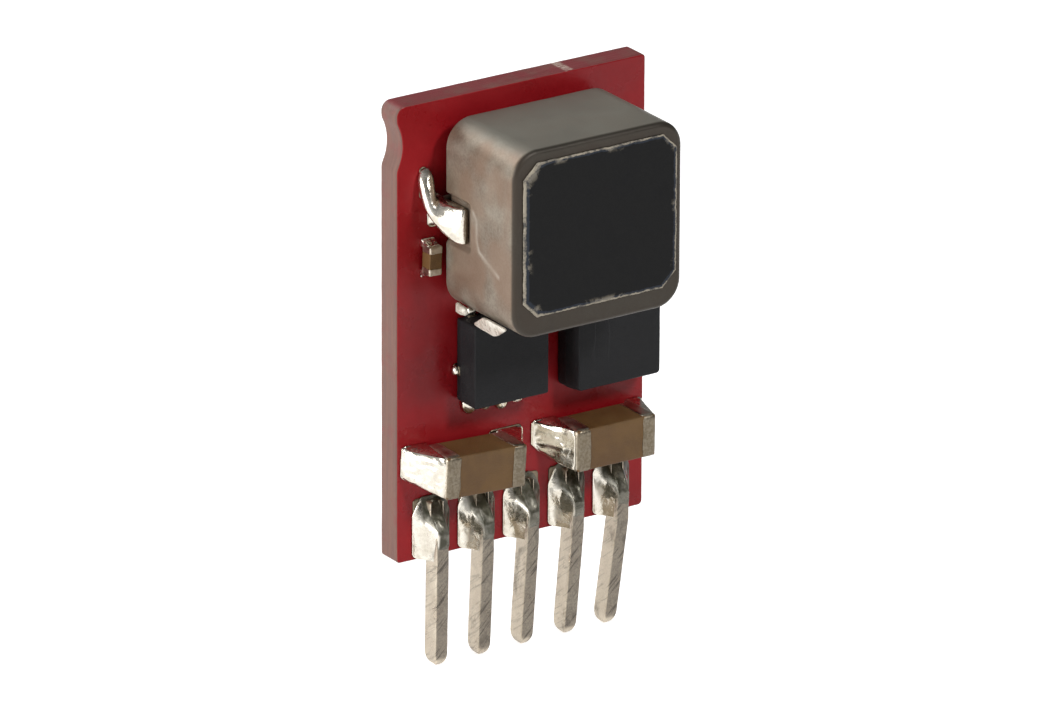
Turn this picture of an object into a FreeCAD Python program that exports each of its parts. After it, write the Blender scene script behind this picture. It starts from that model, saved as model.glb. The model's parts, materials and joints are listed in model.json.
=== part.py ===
"""Switching regulator module: an upright circuit board on five pins, with a moulded power inductor,
two moulded semiconductor packages and three ceramic chip capacitors soldered to its front face.

Frame: X runs along the board's width, Z runs up, and the component side faces -Y. The origin lies on
the axis of the middle pin, level with the board's lower edge, which is the seating plane."""

import FreeCAD
import Part
import Sketcher

import os

from FreeCAD import Placement, Rotation, Vector

doc = FreeCAD.newDocument("RegulatorModule")
sizes = doc.addObject("Spreadsheet::Sheet", "sizes")

# Driving dimensions in millimetres, and angles in degrees
DIMENSIONS = [
    # Circuit board
    ("boardMarginLeft", 0.13, "board's left edge to the input capacitor's solder"),
    ("boardMarginRight", 0.09, "board's right edge to the output capacitor's solder"),
    ("boardHeight", 16.5, "lower edge to upper edge"),
    ("boardThick", 1.0, "laminate with its lacquer"),
    ("tabCornerRadius", 0.35, "upper left corner, beside the break-off notch"),
    ("routedRadius", 0.16, "the other three corners"),
    ("notchMargin", 0.48, "upper edge to the start of the notch in the left edge"),
    ("notchDepth", 0.22, "how far the notch cuts into the edge"),
    ("notchRadius", 1.7, "radius of the notch"),
    ("notchBlend", 0.4, "radius that blends the notch into the edge"),
    ("landThick", 0.05, "tinned copper lands on the board"),
    ("landMargin", 0.03, "land beyond the solder's footprint"),
    ("solderFilm", 0.03, "solder between a land and what sits on it"),
    # Pins
    ("pinSpacing", 1.85, "one pin's middle to the next"),
    ("pinWidth", 0.51, "pin section along X"),
    ("pinDepth", 0.76, "pin section along Y"),
    ("pinDrop", 3.8, "pin below the seating plane"),
    ("pinRise", 2.15, "pin above the seating plane"),
    ("pinTipRadius", 0.24, "coined tip"),
    ("leanOne", 0.9, "lean of pin 1"),
    ("leanTwo", 2.4, "lean of pin 2"),
    ("leanThree", 4.0, "lean of pin 3"),
    ("leanFour", 5.1, "lean of pin 4"),
    ("leanFive", 8.0, "lean of pin 5"),
    ("pinJointGap", 0.35, "bare board between two joints"),
    ("pinJointFoot", 0.05, "board edge to the joint's foot"),
    ("pinJointTop", 0.12, "solder above the pin's end"),
    ("pinCover", 0.05, "solder over a pin's front face, top and sides"),
    # Large chip capacitors
    ("chipLength", 3.3, "length over the end terminals"),
    ("chipWidth", 1.6, "width over the end terminals"),
    ("chipThick", 1.6, "thickness over the end terminals"),
    ("chipBand", 0.56, "end terminal along the length"),
    ("chipPlating", 0.05, "thickness of the end terminal"),
    ("chipRound", 0.12, "rounded long edges of the end terminals"),
    ("chipBevel", 0.06, "bevel round the outer face of the end terminals"),
    ("chipSkirt", 0.82, "solder beyond the end of the chip"),
    ("chipEdgeSkirt", 0.44, "the same beside the board's right edge"),
    ("chipSolderStop", 0.15, "solder's upper end to the chip's outer face"),
    ("chipSolderMargin", 0.05, "solder beside the chip at the land"),
    ("chipSolderGap", 0.38, "bare board between the two capacitors' solder"),
    ("inputChipGap", 0.28, "pins' solder to the input capacitor"),
    ("inputChipTilt", -2.8, "the input capacitor sits slightly askew"),
    ("outputChipGap", 0.19, "pins' solder to the output capacitor"),
    ("outputChipTilt", -0.5, "the output capacitor is almost square"),
    # Small chip capacitor beside the inductor
    ("smallLength", 1.05, "length over the end terminals"),
    ("smallWidth", 0.52, "width over the end terminals"),
    ("smallThick", 0.52, "thickness over the end terminals"),
    ("smallBand", 0.24, "end terminal along the length"),
    ("smallPlating", 0.03, "thickness of the end terminal"),
    ("smallRound", 0.05, "rounded long edges of the end terminals"),
    ("smallBevel", 0.03, "bevel round the outer face of the end terminals"),
    ("smallSkirt", 0.15, "solder beyond the end of the chip"),
    ("smallSolderStop", 0.07, "solder's upper end to the chip's outer face"),
    ("smallSolderMargin", 0.03, "solder beside the chip at the land"),
    ("smallSideGap", 0.135, "inductor's side to the small capacitor"),
    ("smallJointGap", 0.155, "inductor's solder to the small capacitor's"),
    ("smallTilt", 88.0, "the small capacitor stands upright"),
    # Regulator package, a sawn leadless block
    ("regulatorWidth", 3.0, "package along X"),
    ("regulatorHeight", 3.0, "package along Z"),
    ("regulatorThick", 1.14, "package in front of its leads' solder"),
    ("regulatorGap", 1.37, "input capacitor to the package"),
    ("packageGap", 1.135, "power stage package to the regulator package"),
    ("regulatorEdge", 0.04, "broken edge round the front face"),
    ("leadSpacing", 0.65, "one lead's middle to the next along a side"),
    ("leadWidth", 0.32, "lead along the package's side"),
    ("leadLength", 0.45, "lead from the side inwards"),
    ("leadThick", 0.2, "lead frame"),
    ("leadToe", 0.42, "solder beyond a lead of the lower and upper side"),
    ("sideToe", 0.14, "solder beyond a lead of the left and right side"),
    ("sideLeadDrop", 0.4, "side lead below the package's middle"),
    ("dieLandSize", 1.5, "exposed thermal land under the package"),
    # Power stage package, a moulded block with drafted sides
    ("stageWidth", 3.54, "package along X at its parting line"),
    ("stageHeight", 3.4, "package along Z at its parting line"),
    ("stageThick", 1.16, "package in front of its leads' solder"),
    ("stageMargin", 0.045, "board's right edge to the package"),
    ("stageGap", 1.14, "output capacitor to the package"),
    ("stageParting", 0.5, "parting line above the package's foot"),
    ("stageDraft", 0.1, "how far each side draws in above the parting line"),
    ("stageCorner", 0.18, "corner radius of the package"),
    ("stageInset", 0.2, "package's side to the ends of its leads"),
    ("stageLeadSpacing", 0.95, "one lead's middle to the next"),
    ("stageLeadWidth", 0.5, "lead along the package's side"),
    ("stageLeadLength", 0.7, "lead from its outer end inwards"),
    ("stageLandWidth", 2.4, "exposed thermal land under the package, along X"),
    ("stageLandHeight", 0.8, "exposed thermal land under the package, along Z"),
    # Power inductor
    ("inductorWidth", 6.85, "moulded body along X"),
    ("inductorHeight", 6.72, "moulded body along Z"),
    ("inductorDepth", 4.4, "moulded body along Y"),
    ("inductorX", -0.02, "inductor's middle off the board's middle"),
    ("inductorGap", 0.61, "packages to the inductor"),
    ("inductorCorner", 0.98, "corner radius of the moulded body"),
    ("inductorFrontEdge", 0.14, "rounding round the front face"),
    ("inductorRearEdge", 0.32, "chamfer round the rear face"),
    ("terminalThick", 0.2, "tinned strip of the terminals"),
    ("terminalWidth", 1.5, "terminal along Z"),
    ("terminalDrop", 0.1, "terminal's middle below the inductor's middle"),
    ("terminalExit", 2.0, "foot of the terminal to the front of the strip where it enters the body"),
    ("terminalArm", 0.9, "strip inside the body"),
    ("terminalFoot", 1.25, "terminal under the body"),
    ("terminalBend", 0.3, "outer radius of the strip's bends"),
    ("pocketPlay", 0.08, "pocket in the body's side beyond each edge of the strip"),
    ("pocketRise", 0.35, "pocket in front of the strip"),
    ("inductorSkirt", 0.74, "solder beyond the body's side at the land"),
    ("inductorJointBelow", 0.69, "terminal's middle to the solder's lower end"),
    ("inductorJointAbove", 1.78, "terminal's middle to the solder's upper end on the land"),
    ("inductorJointStop", 0.15, "front of the strip to the solder's front"),
    # Printed label on the inductor
    ("labelInsetX", 0.61, "inductor's width less the label's"),
    ("labelInsetZ", 1.16, "inductor's height less the label's"),
    ("labelThick", 0.05, "ink and carrier film"),
    ("labelShiftX", 0.06, "label off the inductor's middle along X"),
    ("labelShiftZ", 0.17, "label off the inductor's middle along Z"),
    ("labelChamfer", 0.56, "cut corners of the label"),
]

for row, (alias, number, note) in enumerate(DIMENSIONS, start=1):
    sizes.set("A%d" % row, alias)
    sizes.set("B%d" % row, str(number))
    sizes.set("C%d" % row, note)
    sizes.setAlias("B%d" % row, alias)
doc.recompute()

# How far the faces that pieces sit on lie behind the pins' middle plane
SEAT = "(sizes.pinDepth / 2)"
LAND = "(sizes.pinDepth / 2 + sizes.solderFilm)"
FRONT = "(sizes.pinDepth / 2 + sizes.solderFilm + sizes.landThick)"

# The board is as wide as its two capacitors and their solder need, or its row of pins
PIN_JOINT_WIDTH = "(sizes.pinSpacing - sizes.pinJointGap)"
CHIP_ROW = ("(sizes.boardMarginLeft + 3 * sizes.chipSkirt + 2 * sizes.chipLength"
            " + sizes.chipSolderGap + sizes.chipEdgeSkirt + sizes.boardMarginRight)")
PIN_ROW = "(5 * sizes.pinSpacing - sizes.pinJointGap + 2 * sizes.boardMarginLeft)"
BOARD_WIDTH = "max(%s; %s)" % (CHIP_ROW, PIN_ROW)

# Places across the board: each piece is set from its neighbour or from the board's edge
INPUT_X = "(-%s / 2 + sizes.boardMarginLeft + sizes.chipSkirt + sizes.chipLength / 2)" % BOARD_WIDTH
OUTPUT_X = "(%s / 2 - sizes.boardMarginRight - sizes.chipEdgeSkirt - sizes.chipLength / 2)" % BOARD_WIDTH
STAGE_X = "(%s / 2 - sizes.stageMargin - sizes.stageWidth / 2)" % BOARD_WIDTH
REGULATOR_X = "(%s - (sizes.stageWidth + sizes.regulatorWidth) / 2 - sizes.packageGap)" % STAGE_X
SMALL_X = ("(sizes.inductorX - (sizes.inductorWidth + sizes.smallWidth) / 2"
           " - sizes.smallSideGap)")

# Places up the board, from the pins' solder to the inductor
PIN_JOINT_TOP = "(sizes.pinRise + sizes.pinJointTop)"
INPUT_Z = "(%s + sizes.inputChipGap + sizes.chipWidth / 2)" % PIN_JOINT_TOP
OUTPUT_Z = "(%s + sizes.outputChipGap + sizes.chipWidth / 2)" % PIN_JOINT_TOP
REGULATOR_Z = "(%s + (sizes.chipWidth + sizes.regulatorHeight) / 2 + sizes.regulatorGap)" % INPUT_Z
STAGE_Z = "(%s + (sizes.chipWidth + sizes.stageHeight) / 2 + sizes.stageGap)" % OUTPUT_Z
INDUCTOR_Z = ("(max(%s + sizes.regulatorHeight / 2; %s + sizes.stageHeight / 2)"
              " + sizes.inductorGap + sizes.inductorHeight / 2)" % (REGULATOR_Z, STAGE_Z))
TERMINAL_Z = "(%s - sizes.terminalDrop)" % INDUCTOR_Z
JOINT_LOW = "(%s - sizes.inductorJointBelow)" % TERMINAL_Z
SMALL_Z = "(%s - sizes.smallJointGap - sizes.smallSkirt - sizes.smallLength / 2)" % JOINT_LOW

parts = []
lands = []


def keep(shape_object, label):
    """Names a finished sub-part and lists it for export."""
    shape_object.Label = label
    parts.append(shape_object)
    return shape_object


def bind(target, bindings):
    """Ties properties of an object to formulas of the driving dimensions."""
    for name, formula in bindings.items():
        target.setExpression(name, formula)


def place(target, x="0", y="0", z="0"):
    """Moves an object to a point given by formulas."""
    bind(target, {"Placement.Base.x": x, "Placement.Base.y": y, "Placement.Base.z": z})


def tilt(target, angle):
    """Turns an object about the board's normal: a positive angle lowers its right end."""
    target.Placement = Placement(Vector(), Rotation(Vector(0, 1, 0), 1.0))
    target.setExpression("Placement.Rotation.Angle", angle)


def new_sketch(body, name, role, x="0", y="0", depth="0"):
    """A sketch on one of the body's origin planes, moved within and off that plane."""
    sketch = body.newObject("Sketcher::SketchObject", name)
    plane = [feature for feature in body.Origin.OriginFeatures if feature.Role == role][0]
    sketch.AttachmentSupport = [(plane, "")]
    sketch.MapMode = "FlatFace"
    bind(sketch, {"AttachmentOffset.Base.x": x, "AttachmentOffset.Base.y": y,
                  "AttachmentOffset.Base.z": depth})
    return sketch


def dimension(sketch, constraint, name, formula):
    """Adds a dimension to a sketch and ties it to a formula."""
    index = sketch.addConstraint(constraint)
    sketch.renameConstraint(index, name)
    sketch.setExpression("Constraints." + name, formula)


def draw_rectangle(sketch, width, height):
    """A rectangle centred on the sketch's origin."""
    corners = [Vector(-1, -1, 0), Vector(1, -1, 0), Vector(1, 1, 0), Vector(-1, 1, 0)]
    for k in range(4):
        sketch.addGeometry(Part.LineSegment(corners[k], corners[(k + 1) % 4]), False)
    for k in range(4):
        sketch.addConstraint(Sketcher.Constraint("Coincident", k, 2, (k + 1) % 4, 1))
        direction = "Horizontal" if k % 2 == 0 else "Vertical"
        sketch.addConstraint(Sketcher.Constraint(direction, k))
    sketch.addConstraint(Sketcher.Constraint("Symmetric", 0, 1, 2, 1, -1, 1))
    dimension(sketch, Sketcher.Constraint("DistanceX", 0, 1, 0, 2, 2.0), "width", width)
    dimension(sketch, Sketcher.Constraint("DistanceY", 1, 1, 1, 2, 2.0), "height", height)


def draw_rounded(sketch, width, height, radius):
    """A rectangle with rounded corners, centred on the sketch's origin."""
    half, corner, quarter = 2.0, 0.5, 1.5707963267948966
    inner = half - corner
    sides = [((-inner, -half), (inner, -half)), ((half, -inner), (half, inner)),
             ((inner, half), (-inner, half)), ((-half, inner), (-half, -inner))]
    centres = [(inner, -inner), (inner, inner), (-inner, inner), (-inner, -inner)]
    for start, end in sides:
        sketch.addGeometry(Part.LineSegment(Vector(*start, 0), Vector(*end, 0)), False)
    for k, centre in enumerate(centres):
        circle = Part.Circle(Vector(*centre, 0), Vector(0, 0, 1), corner)
        start = (k - 1) * quarter
        sketch.addGeometry(Part.ArcOfCircle(circle, start, start + quarter), False)
    for k in range(4):
        sketch.addConstraint(Sketcher.Constraint("Tangent", k, 2, 4 + k, 1))
        sketch.addConstraint(Sketcher.Constraint("Tangent", 4 + k, 2, (k + 1) % 4, 1))
        direction = "Horizontal" if k % 2 == 0 else "Vertical"
        sketch.addConstraint(Sketcher.Constraint(direction, k))
    for k in (5, 6, 7):
        sketch.addConstraint(Sketcher.Constraint("Equal", 4, k))
    sketch.addConstraint(Sketcher.Constraint("Symmetric", 4, 3, 6, 3, -1, 1))
    dimension(sketch, Sketcher.Constraint("Radius", 4, corner), "radius", radius)
    dimension(sketch, Sketcher.Constraint("DistanceX", 3, 1, 1, 1, 4.0), "width", width)
    dimension(sketch, Sketcher.Constraint("DistanceY", 0, 1, 2, 1, 4.0), "height", height)


def draw_outline(sketch, corners):
    """A closed outline of straight sides through corners whose coordinates are formulas."""
    points = [Vector(float(sketch.evalExpression(x)), float(sketch.evalExpression(y)), 0)
              for x, y in corners]
    count = len(corners)
    for k in range(count):
        sketch.addGeometry(Part.LineSegment(points[k], points[(k + 1) % count]), False)
    for k in range(count):
        sketch.addConstraint(Sketcher.Constraint("Coincident", k, 2, (k + 1) % count, 1))
    for k, (x, y) in enumerate(corners):
        across = Sketcher.Constraint("DistanceX", -1, 1, k, 1, points[k].x)
        dimension(sketch, across, "x%d" % k, x)
        along = Sketcher.Constraint("DistanceY", -1, 1, k, 1, points[k].y)
        dimension(sketch, along, "y%d" % k, y)


def pad(body, sketch, length, both_ways=False):
    """Extrudes a sketch along its normal, or equally both ways."""
    feature = body.newObject("PartDesign::Pad", "pad")
    feature.Profile = sketch
    feature.setExpression("Length", length)
    feature.Midplane = both_ways
    return feature


def edges_where(shape, wanted):
    """Names of the edges whose middle point and end-to-end vector pass a test."""
    names = []
    for number, edge in enumerate(shape.Edges, start=1):
        middle = edge.valueAt((edge.FirstParameter + edge.LastParameter) / 2)
        ends = [vertex.Point for vertex in edge.Vertexes]
        if wanted(middle, ends[-1] - ends[0]):
            names.append("Edge%d" % number)
    return names


def parallel(run, axis):
    """True if an edge runs parallel to one axis: 0 for X, 1 for Y, 2 for Z."""
    others = [k for k in range(3) if k != axis]
    return abs(run[axis]) > 1e-6 and all(abs(run[k]) < 1e-6 for k in others)


def round_edges(body, base, radius, wanted):
    """Rounds the edges of a feature that pass a test."""
    doc.recompute()
    fillet = body.newObject("PartDesign::Fillet", "fillet")
    fillet.Base = (base, edges_where(base.Shape, wanted))
    fillet.setExpression("Radius", radius)
    return fillet


def bevel_edges(body, base, size, wanted):
    """Chamfers the edges of a feature that pass a test."""
    doc.recompute()
    chamfer = body.newObject("PartDesign::Chamfer", "chamfer")
    chamfer.Base = (base, edges_where(base.Shape, wanted))
    chamfer.setExpression("Size", size)
    return chamfer


def repeat(body, feature, axis, step, count):
    """Repeats a feature along one of the body's axes."""
    doc.recompute()
    direction = [item for item in body.Origin.OriginFeatures if item.Role == axis][0]
    pattern = body.newObject("PartDesign::LinearPattern", "row")
    pattern.Originals = [feature]
    pattern.Direction = (direction, [""])
    pattern.Occurrences = count
    pattern.setExpression("Length", "%d * %s" % (count - 1, step))
    body.Tip = pattern
    return pattern


def cut(name, base, tool):
    """One shape less another."""
    result = doc.addObject("Part::Cut", name)
    result.Base = base
    result.Tool = tool
    return result


def group(name, shapes):
    """Separate solids held together as one sub-part."""
    result = doc.addObject("Part::Compound", name)
    result.Links = shapes
    return result


def block(name, width, height, depth, front="0", x="0", z="0"):
    """A flat piece that lies parallel to the board and grows towards the viewer."""
    body = doc.addObject("PartDesign::Body", name)
    outline = new_sketch(body, "outline", "XZ_Plane", x, z, front)
    draw_rectangle(outline, width, height)
    pad(body, outline, depth)
    return body


def add_land(x, z, width, height):
    """A tinned copper land on the board, a little larger than the solder on it."""
    body = block("land", width + " + 2 * sizes.landMargin", height + " + 2 * sizes.landMargin",
                 "sizes.landThick")
    place(body, x, FRONT, z)
    lands.append(body)


def draw_cut_corners(sketch, width, height, corner):
    """A rectangle with cut corners, centred on the sketch's origin."""
    x, z = "(%s) / 2" % width, "(%s) / 2" % height
    near_x, near_z = "(%s - %s)" % (x, corner), "(%s - %s)" % (z, corner)
    draw_outline(sketch, [("-" + near_x, "-" + z), (near_x, "-" + z), (x, "-" + near_z), (x, near_z),
                          (near_x, z), ("-" + near_x, z), ("-" + x, near_z), ("-" + x, "-" + near_z)])


def solder_loft(name, sections):
    """A solder form with hollow flanks: outlines with cut corners, one in front of the other.
    A section holds its distance in front of the origin, its middle, its size and its corner."""
    body = doc.addObject("PartDesign::Body", name)
    outlines = []
    for distance, x, z, width, height, corner in sections:
        outline = new_sketch(body, "outline", "XZ_Plane", x, z, distance)
        draw_cut_corners(outline, width, height, corner)
        outlines.append(outline)
    feature = body.newObject("PartDesign::AdditiveLoft", "loft")
    feature.Profile = outlines[0]
    feature.Sections = outlines[1:]
    return body


# Circuit board: a routed outline with a shallow break-off notch in its left edge
def make_board():
    body = doc.addObject("PartDesign::Body", "board_body")
    outline = new_sketch(body, "outline", "XZ_Plane", "0", "sizes.boardHeight / 2")
    draw_rectangle(outline, BOARD_WIDTH, "sizes.boardHeight")
    slab = pad(body, outline, "sizes.boardThick")
    corner = round_edges(body, slab, "sizes.tabCornerRadius",
                         lambda p, run: parallel(run, 1) and p.x < 0 and p.z > 1)
    others = round_edges(body, corner, "sizes.routedRadius",
                         lambda p, run: parallel(run, 1) and (p.x > 1 or p.z < 0.01))
    outer, inner = "(sizes.notchRadius + sizes.notchBlend)", "sizes.notchDepth"
    half_span = "sqrt(%s ^ 2 - (%s - %s) ^ 2)" % (outer, outer, inner)
    notch_x = "-%s / 2 + sizes.notchDepth - sizes.notchRadius" % BOARD_WIDTH
    notch_z = "sizes.boardHeight - sizes.notchMargin - " + half_span
    circle = new_sketch(body, "notch_outline", "XZ_Plane", notch_x, notch_z)
    circle.addGeometry(Part.Circle(Vector(), Vector(0, 0, 1), 1.0), False)
    circle.addConstraint(Sketcher.Constraint("Coincident", 0, 3, -1, 1))
    dimension(circle, Sketcher.Constraint("Radius", 0, 1.0), "radius", "sizes.notchRadius")
    notch = body.newObject("PartDesign::Pocket", "notch")
    notch.Profile = circle
    notch.Type = "ThroughAll"
    notch.Midplane = True
    side = -float(circle.evalExpression(BOARD_WIDTH)) / 2
    middle = float(circle.evalExpression(notch_z))
    round_edges(body, notch, "sizes.notchBlend",
                lambda p, run: parallel(run, 1) and abs(p.x - side) < 1e-4
                and abs(p.z - middle) < sizes.notchRadius and abs(p.z - middle) > 1e-3
                and p.z < sizes.boardHeight - sizes.tabCornerRadius - 1e-3)
    place(body, "0", FRONT + " + sizes.boardThick", "0")
    return keep(body, "board")


# A pin: flat on its land, cranked over slightly at the board's edge, with a coined tip
def make_pin(number, lean):
    body = doc.addObject("PartDesign::Body", "pin_body_%d" % number)
    half = "sizes.pinWidth / 2"
    slant = "sizes.pinDrop * tan(%s * 1 deg)" % lean
    outline = new_sketch(body, "outline", "XZ_Plane")
    draw_outline(outline, [("-" + half, "sizes.pinRise"), (half, "sizes.pinRise"), (half, "0"),
                           ("%s - %s" % (half, slant), "-sizes.pinDrop"),
                           ("-%s - %s" % (half, slant), "-sizes.pinDrop"), ("-" + half, "0")])
    strip = pad(body, outline, "sizes.pinDepth", True)
    low = -sizes.pinDrop + 1e-3
    round_edges(body, strip, "sizes.pinTipRadius", lambda p, run: p.z < low)
    place(body, "%d * sizes.pinSpacing" % (number - 3))
    return keep(body, "pin_%d" % number)


# Solder round a pin: a skirt on the land that wets the pin's sides, end and front face
def make_pin_joint(number, pin):
    height = "(%s - sizes.pinJointFoot)" % PIN_JOINT_TOP
    reach = "(sizes.solderFilm + sizes.pinDepth + sizes.pinCover)"
    core = "(sizes.pinWidth + 2 * sizes.pinCover)"
    spread = "(%s - %s)" % (PIN_JOINT_WIDTH, core)
    shrink = "(sizes.pinJointTop - sizes.pinCover)"
    sections = []
    for rise, share in ((0.0, 1.0), (0.2, 0.62), (0.5, 0.32), (1.0, 0.0)):
        width = "(%s + %g * %s)" % (core, share, spread)
        tall = "(%s - %g * %s)" % (height, 1 - share, shrink)
        sections.append(("-%s + %g * %s" % (LAND, rise, reach), "0",
                         "sizes.pinJointFoot + %s / 2" % tall, width, tall,
                         "%g * %s" % (0.22 + 0.2 * share, core)))
    form = solder_loft("pin_joint_form_%d" % number, sections)
    x = "%d * sizes.pinSpacing" % (number - 3)
    place(form, x)
    add_land(x, "sizes.pinJointFoot + %s / 2" % height, PIN_JOINT_WIDTH, height)
    return keep(cut("pin_joint_%d" % number, form, pin), "pin_%d_solder" % number)


# A chip capacitor: a ceramic block, a plated cup over each end and a solder fillet at each end.
# It is drawn with its length along X and its foot on the local XZ plane, then set in place.
def make_chip(prefix, label, x, z, angle, ends):
    def named(word):
        return "sizes." + prefix + word

    length, width, thick = named("Length"), named("Width"), named("Thick")
    plating, band, rounding = named("Plating"), named("Band"), named("Round")

    def settle(target):
        tilt(target, angle)
        place(target, x, SEAT, z)

    ceramic = doc.addObject("PartDesign::Body", label + "_block")
    outline = new_sketch(ceramic, "outline", "XZ_Plane", "0", "0", plating)
    draw_rectangle(outline, "%s - 2 * %s" % (length, plating), "%s - 2 * %s" % (width, plating))
    pad(ceramic, outline, "%s - 2 * %s" % (thick, plating))
    settle(ceramic)
    keep(ceramic, label + "_ceramic")

    for side, (skirt, name) in zip((-1, 1), ends):
        shell = doc.addObject("PartDesign::Body", label + "_shell")
        start = "-%s / 2" % length if side < 0 else "%s / 2 - %s" % (length, band)
        outline = new_sketch(shell, "outline", "YZ_Plane", "-%s / 2" % thick, "0", start)
        draw_rounded(outline, thick, width, rounding)
        solid = pad(shell, outline, band)
        outer = side * sizes.get(prefix + "Length") / 2
        bevel_edges(shell, solid, named("Bevel"), lambda p, run: abs(p.x - outer) < 1e-6)
        settle(shell)
        keep(cut(label + "_cup", shell, ceramic), "%s_%s_terminal" % (label, name))

        under = "(0.9 * %s)" % band
        climb = "(sizes.solderFilm + %s - %s)" % (thick, named("SolderStop"))
        sections = []
        for rise, share in ((0.0, 1.0), (0.2, 0.56), (0.5, 0.24), (1.0, 0.03)):
            reach = "(%g * %s)" % (share, skirt)
            across = "(%s + %s)" % (under, reach)
            centre = "%d * (%s + %s - %s) / 2" % (side, length, reach, under)
            tall = "(%s - 2 * %s + %g * %s)" % (width, plating, 2 * share, named("SolderMargin"))
            sections.append(("-sizes.solderFilm + %g * %s" % (rise, climb), centre, "0",
                             across, tall, "%g * %s" % (0.9 + share, rounding)))
        form = solder_loft(label + "_fillet", sections)
        settle(form)
        keep(cut(label + "_joint", form, shell), "%s_%s_solder" % (label, name))

        land = block("land", "%s + %s + 2 * sizes.landMargin" % (under, skirt),
                     "%s - 2 * %s + 2 * %s + 2 * sizes.landMargin"
                     % (width, plating, named("SolderMargin")),
                     "sizes.landThick", "-sizes.solderFilm - sizes.landThick",
                     "%d * (%s + %s - %s) / 2" % (side, length, skirt, under))
        settle(land)
        lands.append(land)


# A row of equal pieces along one side of a package: drawn for the lower side, then turned to its own
def make_row(name, outline_corners, width, count, step, turn, x, z):
    body = doc.addObject("PartDesign::Body", name)
    outline = new_sketch(body, "outline", "YZ_Plane", "0", "0",
                         "-%g * %s - %s / 2" % ((count - 1) / 2, step, width))
    draw_outline(outline, outline_corners)
    piece = pad(body, outline, width)
    if count > 1:
        repeat(body, piece, "X_Axis", step, count)
    body.Placement = Placement(Vector(), Rotation(Vector(0, 1, 0), turn))
    place(body, x, SEAT, z)
    return body


# The solder of a lead: a film under it and a toe that climbs its outer end
def solder_corners(length, toe):
    film, end = "sizes.solderFilm", "0.8 * sizes.leadThick"
    return [(film, length), (film, "-" + toe), ("0", "-" + toe), ("-0.3 * " + end, "-0.5 * " + toe),
            ("-" + end, "-0.2 * " + toe), ("-" + end, "0"), ("0", "0"), ("0", length)]


def land_corners(length, toe):
    near, far = "sizes.solderFilm", "sizes.solderFilm + sizes.landThick"
    low, high = "-%s - sizes.landMargin" % toe, "%s + sizes.landMargin" % length
    return [(near, low), (far, low), (far, high), (near, high)]


def lead_corners(length):
    return [("0", "0"), ("0", length), ("-sizes.leadThick", length), ("-sizes.leadThick", "0")]


# Regulator package: a sawn block whose leads end flush with its sides
def make_regulator():
    x, z = REGULATOR_X, REGULATOR_Z
    half_x, half_z = "sizes.regulatorWidth / 2", "sizes.regulatorHeight / 2"
    side_z = z + " - sizes.sideLeadDrop"
    rows = [(0, 4, "sizes.leadToe", x, "%s - %s" % (z, half_z)),
            (180, 4, "sizes.leadToe", x, "%s + %s" % (z, half_z)),
            (90, 1, "sizes.sideToe", "%s - %s" % (x, half_x), side_z),
            (-90, 1, "sizes.sideToe", "%s + %s" % (x, half_x), side_z)]
    length, width, step = "sizes.leadLength", "sizes.leadWidth", "sizes.leadSpacing"
    leads, joints = [], []
    for turn, count, toe, row_x, row_z in rows:
        leads.append(make_row("lead_row", lead_corners(length), width, count, step,
                              turn, row_x, row_z))
        joints.append(make_row("toe_row", solder_corners(length, toe), width, count, step,
                               turn, row_x, row_z))
        lands.append(make_row("land_row", land_corners(length, toe), width + " + sizes.landMargin",
                              count, step, turn, row_x, row_z))
    size = "sizes.dieLandSize"
    leads.append(block("die_land", size, size, "sizes.leadThick"))
    joints.append(block("die_film", size, size, "sizes.solderFilm", "-sizes.solderFilm"))
    for piece in (leads[-1], joints[-1]):
        place(piece, x, SEAT, z)
    add_land(x, z, size, size)
    frame = group("regulator_frame", leads)

    moulding = doc.addObject("PartDesign::Body", "regulator_body")
    outline = new_sketch(moulding, "outline", "XZ_Plane")
    draw_rectangle(outline, "sizes.regulatorWidth", "sizes.regulatorHeight")
    solid = pad(moulding, outline, "sizes.regulatorThick")
    front = -sizes.regulatorThick
    bevel_edges(moulding, solid, "sizes.regulatorEdge", lambda p, run: abs(p.y - front) < 1e-6)
    place(moulding, x, SEAT, z)
    keep(cut("regulator_moulding", moulding, frame), "regulator_package")
    keep(frame, "regulator_leads")
    keep(group("regulator_joints", joints), "regulator_solder")


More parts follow.
